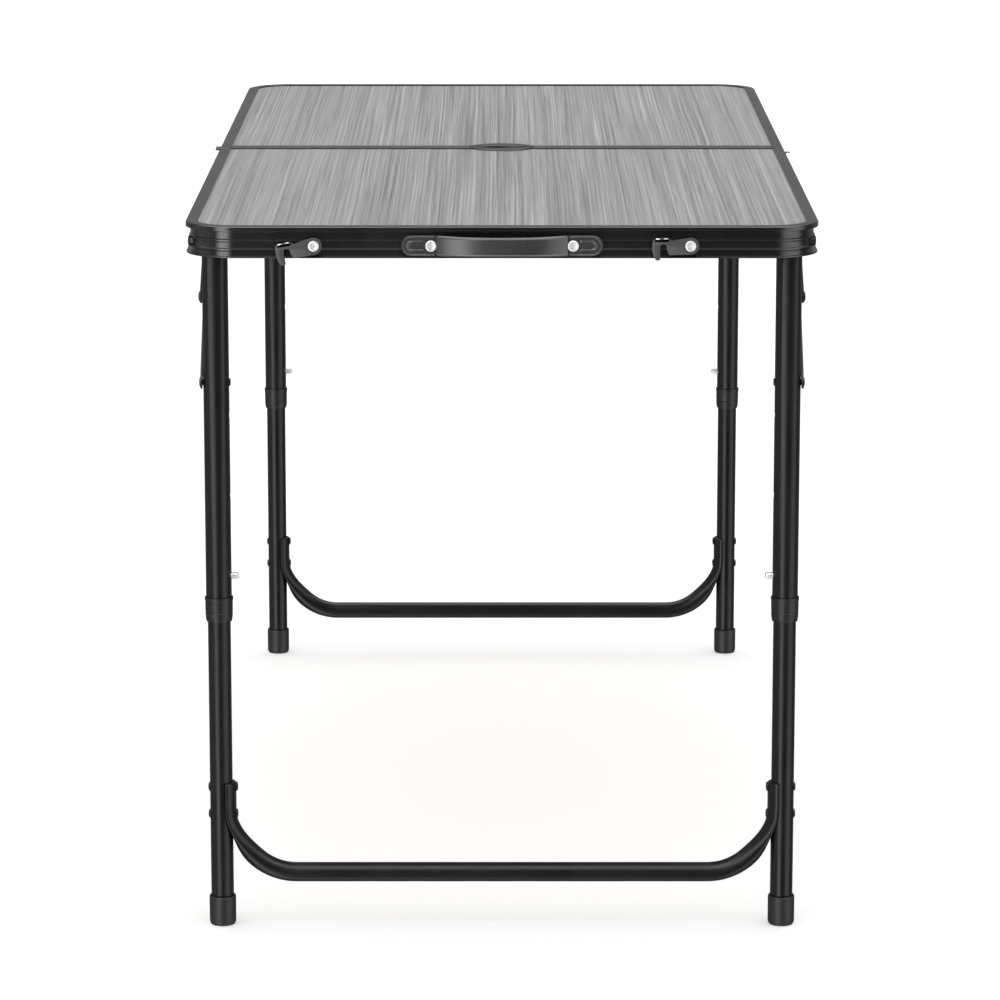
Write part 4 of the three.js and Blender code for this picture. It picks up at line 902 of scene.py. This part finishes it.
def hook(node, half, place, outward, droop):
    matrix = hook_frame(place, outward, droop)
    shells = [moved(s, matrix) for s in hook_shells()]
    cutter = moved(lathe(rod(3.5, -1, 3), (0, 0, 0), (0, 0, 1), 24), matrix)
    piece(node, shells, [HOOK, BRIGHT], half, [cutter], bevel=0.22)


def hook_rivet(node, half, wall, outward):
    """Dished head, shank and tail of a hook's rivet, and the spacer behind the hook."""
    over = HOOK_OFFSET + HOOK_THICKNESS + GAP
    head = [
        (0, over), (5.1, over), (5.2, over + 0.6), (4.9, over + 1.2), (4.2, over + 1.6),
        (3.5, over + 1.6), (2.8, over + 1.35), (2.1, over + 1.25), (0, over + 1.2),
    ]
    shells = turned((head, rod(3, -2.6, over + 0.1), WALL_TAIL), wall, outward, 36)
    spacer = rod(5.5, SEAT, HOOK_OFFSET - GAP)
    shells.append(lathe(spacer, wall, outward, 32, material=1))
    piece(node, shells, [BRIGHT, STEEL], half, angle=32)


def stud(node, half, wall, outward):
    """Headed pin that a hook catches on."""
    reach = HOOK_OFFSET + HOOK_THICKNESS + 2 * GAP
    profiles = (
        rod(2.6, -2.6, reach + 0.2),
        [(0, SEAT), (4, SEAT), (4, 3.4), (3.5, 3.9), (0, 3.9)],
        WALL_TAIL,
        dome(4.0, reach, 1.5, 0.6),
    )
    piece(node, turned(profiles, wall, outward, 32), [STEEL], half)


def side_catch(half):
    """The side hook of this half with its rivet, and the stud on its other side."""
    names = dict(side_names(half))
    left, right = names[-1], names[1]
    wall = Vector((-WALL_OUTER, -10, 675))
    hook(left + "_side_hook", half, wall - Vector((HOOK_OFFSET, 0, 0)), (-1, 0, 0), -7)
    hook_rivet(left + "_side_hook_rivet", half, wall, (-1, 0, 0))
    stud(right + "_side_stud", half, Vector((WALL_OUTER, -14.0, 666.35)), (1, 0, 0))


# ---------------------------------------------------------------- handle

HANDLE_HALF_HEIGHT = 10
HANDLE_ROUND_X = 85  # where the round ends begin
BOW_X = 62.3  # where the front of the bowed grip meets the pads
BOW_BACK_X = 56.3
STITCH_X = 62.6
STITCH_PITCH = 2.9
PAD_RIVET_X = 66.8


def handle_half_height(x):
    """Half the height of the handle's outline at x."""
    x = abs(x)
    if x > HANDLE_ROUND_X:
        return math.sqrt(max(0.0, HANDLE_HALF_HEIGHT**2 - (x - HANDLE_ROUND_X) ** 2))
    if x > BOW_X:
        return HANDLE_HALF_HEIGHT
    return 9.25 + 0.75 * (x / BOW_X) ** 2


def bow_depth(x, start):
    """How far the grip stands out at x, where its bow runs from -start to start."""
    x = abs(x) / start
    if x >= 1:
        return 0.0
    t = x
    for _ in range(8):
        t -= (0.96 * t + 0.04 * t**3 - x) / (0.96 + 0.12 * t * t)
    return 12 * (1 - t**3)


def edge_distance(x, z):
    """Distance from the handle's front outline, inwards."""
    if abs(x) > HANDLE_ROUND_X:
        return HANDLE_HALF_HEIGHT - math.hypot(abs(x) - HANDLE_ROUND_X, z)
    return handle_half_height(x) - abs(z)


def stitch_beat(z):
    """Distance from the middle of the gap between two holes of the stitched line."""
    return abs(((z + 30) % STITCH_PITCH) - STITCH_PITCH / 2)


def handle_relief(x, z):
    """Relief of the handle's front: rims, the inset of each pad, and the stitched line of holes."""
    d = edge_distance(x, z)
    out = -1.9 * (1 - rise(d, -0.4, 1.7))
    if abs(x) > 63.4:
        out += 1.0 * (1 - rise(d, 1.3, 2.2))
        inset = math.hypot(max(0.0, abs(x) - 84), z) if abs(x) > 84 else abs(z)
        ring = abs(inset - 4.2)
        if abs(x) > 73.5:
            out += 0.8 * (1 - rise(ring, 0.3, 0.95))
    else:
        out += 0.8 * (1 - rise(d, 1.5, 2.6))
        out += 0.5 * math.cos(min(1.0, abs(z) / 9.5) * math.pi / 2)
    hole = abs(abs(x) - STITCH_X)
    if hole < 0.95 and d > 0.5:
        out -= 1.5 * (1 - rise(hole, 0.35, 0.9)) * (1 - rise(stitch_beat(z), 0.75, 1.1))
    return out


def handle_stations():
    """Places along the handle, closest together at its ends and at the stitched lines."""
    xs = [-95 + 10 * (1 - math.cos(math.pi / 2 * i / 16)) for i in range(17)]
    xs += [-85 + 0.9 * i for i in range(1, 24)]
    xs += [-64.0 + 0.28 * i for i in range(12)]
    xs += [-60.4 + 1.6 * i for i in range(38)]
    xs = sorted(set(round(x, 3) for x in xs if x <= 0) | {0.0})
    return xs + [-x for x in reversed(xs[:-1])]


def handle_section(x, wall):
    """Outline of the handle at x: its moulded front, then its flat back."""
    rows = 54
    height = max(handle_half_height(x), 0.05)
    front_y = wall - 3.5 - bow_depth(x, BOW_X)
    back_y = wall - bow_depth(x, BOW_BACK_X)
    section = []
    for k in range(rows + 1):
        v = -math.cos(math.pi * k / rows) * 0.35 + 0.65 * (2 * k / rows - 1)
        z = v * height
        out = handle_relief(x, z) if height > 0.1 else -1.1
        section.append((x, front_y - out, HANDLE_Z + z))
    section += [(x, back_y, HANDLE_Z + height * v) for v in (0.96, 0.5, 0, -0.5, -0.96)]
    return section


def in_stitch(points, face, wall):
    """Whether a face of the handle is inside one of the stitched line's holes."""
    if len(face) != 4:
        return False
    centre = sum((points[k] for k in face), Vector()) / 4
    z = centre.z - HANDLE_Z
    near_line = centre.y < wall - 3.0 and abs(abs(centre.x) - STITCH_X) < 0.75
    return near_line and stitch_beat(z) < 1.05 and abs(z) < 9.2


def handle():
    """The carrying handle: a grip bowed away from the wall between two riveted pads."""
    wall = END_WALL_Y - SEAT
    points, faces, _ = loft([handle_section(x, wall) for x in handle_stations()])
    holes = [in_stitch(points, face, wall) for face in faces]
    # Faces inside the stitched holes take slot 2, the darker moulded black: painted shade in the
    # holes.
    shells = [
        (points, [f for f, hole in zip(faces, holes) if not hole], 0),
        (points, [f for f, hole in zip(faces, holes) if hole], 2),
    ]
    head = [
        (0, 2.2), (5.3, 2.2), (5.4, 4.1), (5.1, 4.8), (4.4, 5.2),
        (3.7, 5.2), (3.0, 4.95), (2.2, 4.85), (0, 4.8),
    ]
    tail = [(0, -3.6), (4.2, -3.6), (4.2, -2.6), (2.6, -2.6), (2.6, 3), (0, 3)]
    for side in (-1, 1):
        centre = (side * PAD_RIVET_X, wall, HANDLE_Z)
        shells.append(lathe(head, centre, (0, -1, 0), 36, material=1))
        shells.append(lathe(tail, centre, (0, -1, 0), 28, material=1))
    piece("carry_handle", shells, [GRIP, BRIGHT, PLASTIC], angle=40)


# ---------------------------------------------------------------- seam hinges


def hinge_leaf(node, half, x, spans, with_pin):
    """A leaf under the seam rail with rolled knuckles and three countersunk screws."""
    top = RIM_Z - GAP
    low_z = top - LEAF_THICKNESS
    shells = [block((x - LEAF_HALF, -24, low_z), (x + LEAF_HALF, -3.5, top))]
    for low, high in spans:
        knuckle = fillet([(0, low), (3.2, low, 0.3), (3.2, high, 0.3), (0, high)], 2, closed=False)
        shells.append(lathe(knuckle, (x, 0, HINGE_Z), (1, 0, 0), 32))
        shells.append(block((x + low, -4.5, low_z), (x + high, SEAM_Y, top)))
    if with_pin:
        pin = fillet([(0, -25), (1.5, -25, 0.4), (1.5, 25, 0.4), (0, 25)], 2, closed=False)
        shells.append(lathe(pin, (x, 0, HINGE_Z), (1, 0, 0), 20))
    for screw in (-16, 0, 16):
        shells.append(lathe(dome(3.2, top - 1.7, -1.0, 0.7), (x + screw, -14, 0), (0, 0, 1), 24))
    piece(node, shells, [STEEL], half, bevel=0.2)


# ---------------------------------------------------------------- the table

for half in ("near", "far"):
    edge_frame(half)
    seam_rail(half)
    opening_trim(half)
    panel(half)
    crossbar(half)
    side_catch(half)
    for side, name in side_names(half):
        label = half + "_" + name
        upper_tube(half, side, label)
        lower_tube(half, side, label)
        collar(half, side, label)
        foot(half, side, label)
        snap_button(half, side, label)
        pivot_bolt(half, side, label)
        stays(half, side, label)

for name, x, droop in (("left", -177, 11), ("right", 177, 1.5)):
    wall = Vector((x, END_WALL_Y, 672))
    hook(name + "_latch_hook", "near", wall - Vector((0, HOOK_OFFSET, 0)), (0, -1, 0), droop)
    hook_rivet(name + "_latch_rivet", "near", wall, (0, -1, 0))
    stud(name + "_closing_stud", "far", Vector((-x, END_WALL_Y, 666.5)), (0, -1, 0))
    hinge_x = math.copysign(200, x)
    outer_spans = ((-LEAF_HALF, -8.8), (8.8, LEAF_HALF))
    hinge_leaf(name + "_hinge_near_leaf", "near", hinge_x, outer_spans, True)
    hinge_leaf(name + "_hinge_far_leaf", "far", -hinge_x, ((-8.5, 8.5),), False)
handle()

# ---------------------------------------------------------------- stage, light, camera


def floor():
    """A wide, even white floor that isn't seen in reflections."""
    mesh = bpy.data.meshes.new("floor")
    size = 30
    corners = [(-size, -size, 0), (size, -size, 0), (size, size, 0), (-size, size, 0)]
    mesh.from_pydata(corners, [], [(0, 1, 2, 3)])
    made = bpy.data.objects.new("floor", mesh)
    material, shader = new_material("studio_floor")
    shader.inputs["Base Color"].default_value = (0.86, 0.86, 0.86, 1)
    shader.inputs["Roughness"].default_value = 0.9
    shader.inputs["Specular IOR Level"].default_value = 0.0
    shader.inputs["Emission Color"].default_value = (1, 1, 1, 1)
    shader.inputs["Emission Strength"].default_value = 0.34
    mesh.materials.append(material)
    bpy.context.scene.collection.objects.link(made)
    made.visible_glossy = False


CAMERA_DIP = 11.63  # degrees below level
# (azimuth, half width, softness, strength): 0 is towards -Y, positive towards +X
SOFT_BOXES = ((-31, 11, 9, 4.6), (60, 20, 14, 2.1), (-84, 22, 12, 0.5), (180, 62, 14, 0.2))
DIM_ROOM = 0.08
CEILING = 3.0


def studio():
    """White all round for light and for the view; soft boxes and a ceiling in what is reflected."""
    world = bpy.data.worlds.new("studio")
    bpy.context.scene.world = world
    world.use_nodes = True
    world.node_tree.nodes.clear()
    n = Nodes(world, "Generated")
    split = n.add("ShaderNodeSeparateXYZ")
    n.link(n.place, split.inputs[0])
    x, y, z = split.outputs
    across = n.math("SUBTRACT", 1.0, n.math("MULTIPLY", z, z))
    flat = n.math("SQRT", n.math("MAXIMUM", across, 1e-4))
    total = DIM_ROOM
    for azimuth, wide, soft, strength in SOFT_BOXES:
        a = math.radians(azimuth)
        along_x = n.math("MULTIPLY", x, math.sin(a))
        along_y = n.math("MULTIPLY", y, -math.cos(a))
        facing = n.math("DIVIDE", n.math("ADD", along_x, along_y), flat)
        outside = math.cos(math.radians(wide + soft))
        inside = math.cos(math.radians(max(wide - soft, 0)))
        box = n.spread(facing, outside, inside, kind="SMOOTHSTEP")
        total = n.math("ADD", total, n.math("MULTIPLY", box, strength))
    above = n.spread(z, 0.55, 0.85, kind="SMOOTHSTEP")
    total = n.math("ADD", total, n.math("MULTIPLY", above, CEILING))
    path = n.add("ShaderNodeLightPath")
    mix = n.add("ShaderNodeMix", data_type="FLOAT")
    n.link(path.outputs["Is Glossy Ray"], mix.inputs["Factor"])
    n.link(1.0, mix.inputs[2])
    n.link(total, mix.inputs[3])
    background = n.add("ShaderNodeBackground")
    background.inputs["Color"].default_value = (1, 1, 1, 1)
    n.link(mix.outputs[0], background.inputs["Strength"])
    output = n.add("ShaderNodeOutputWorld")
    n.link(background.outputs[0], output.inputs["Surface"])


def camera():
    """The photo's view: a long lens a little above the top, straight at the near end."""
    data = bpy.data.cameras.new("camera")
    made = bpy.data.objects.new("camera", data)
    bpy.context.scene.collection.objects.link(made)
    data.sensor_width = 36
    data.lens = 163.2
    data.clip_start, data.clip_end = 0.1, 100
    made.location = (-0.0019, -4.8142, 1.2959)
    made.rotation_euler = (math.radians(90 - CAMERA_DIP), 0, 0)
    bpy.context.scene.camera = made


floor()
studio()
camera()
bpy.context.scene.view_settings.view_transform = "Standard"
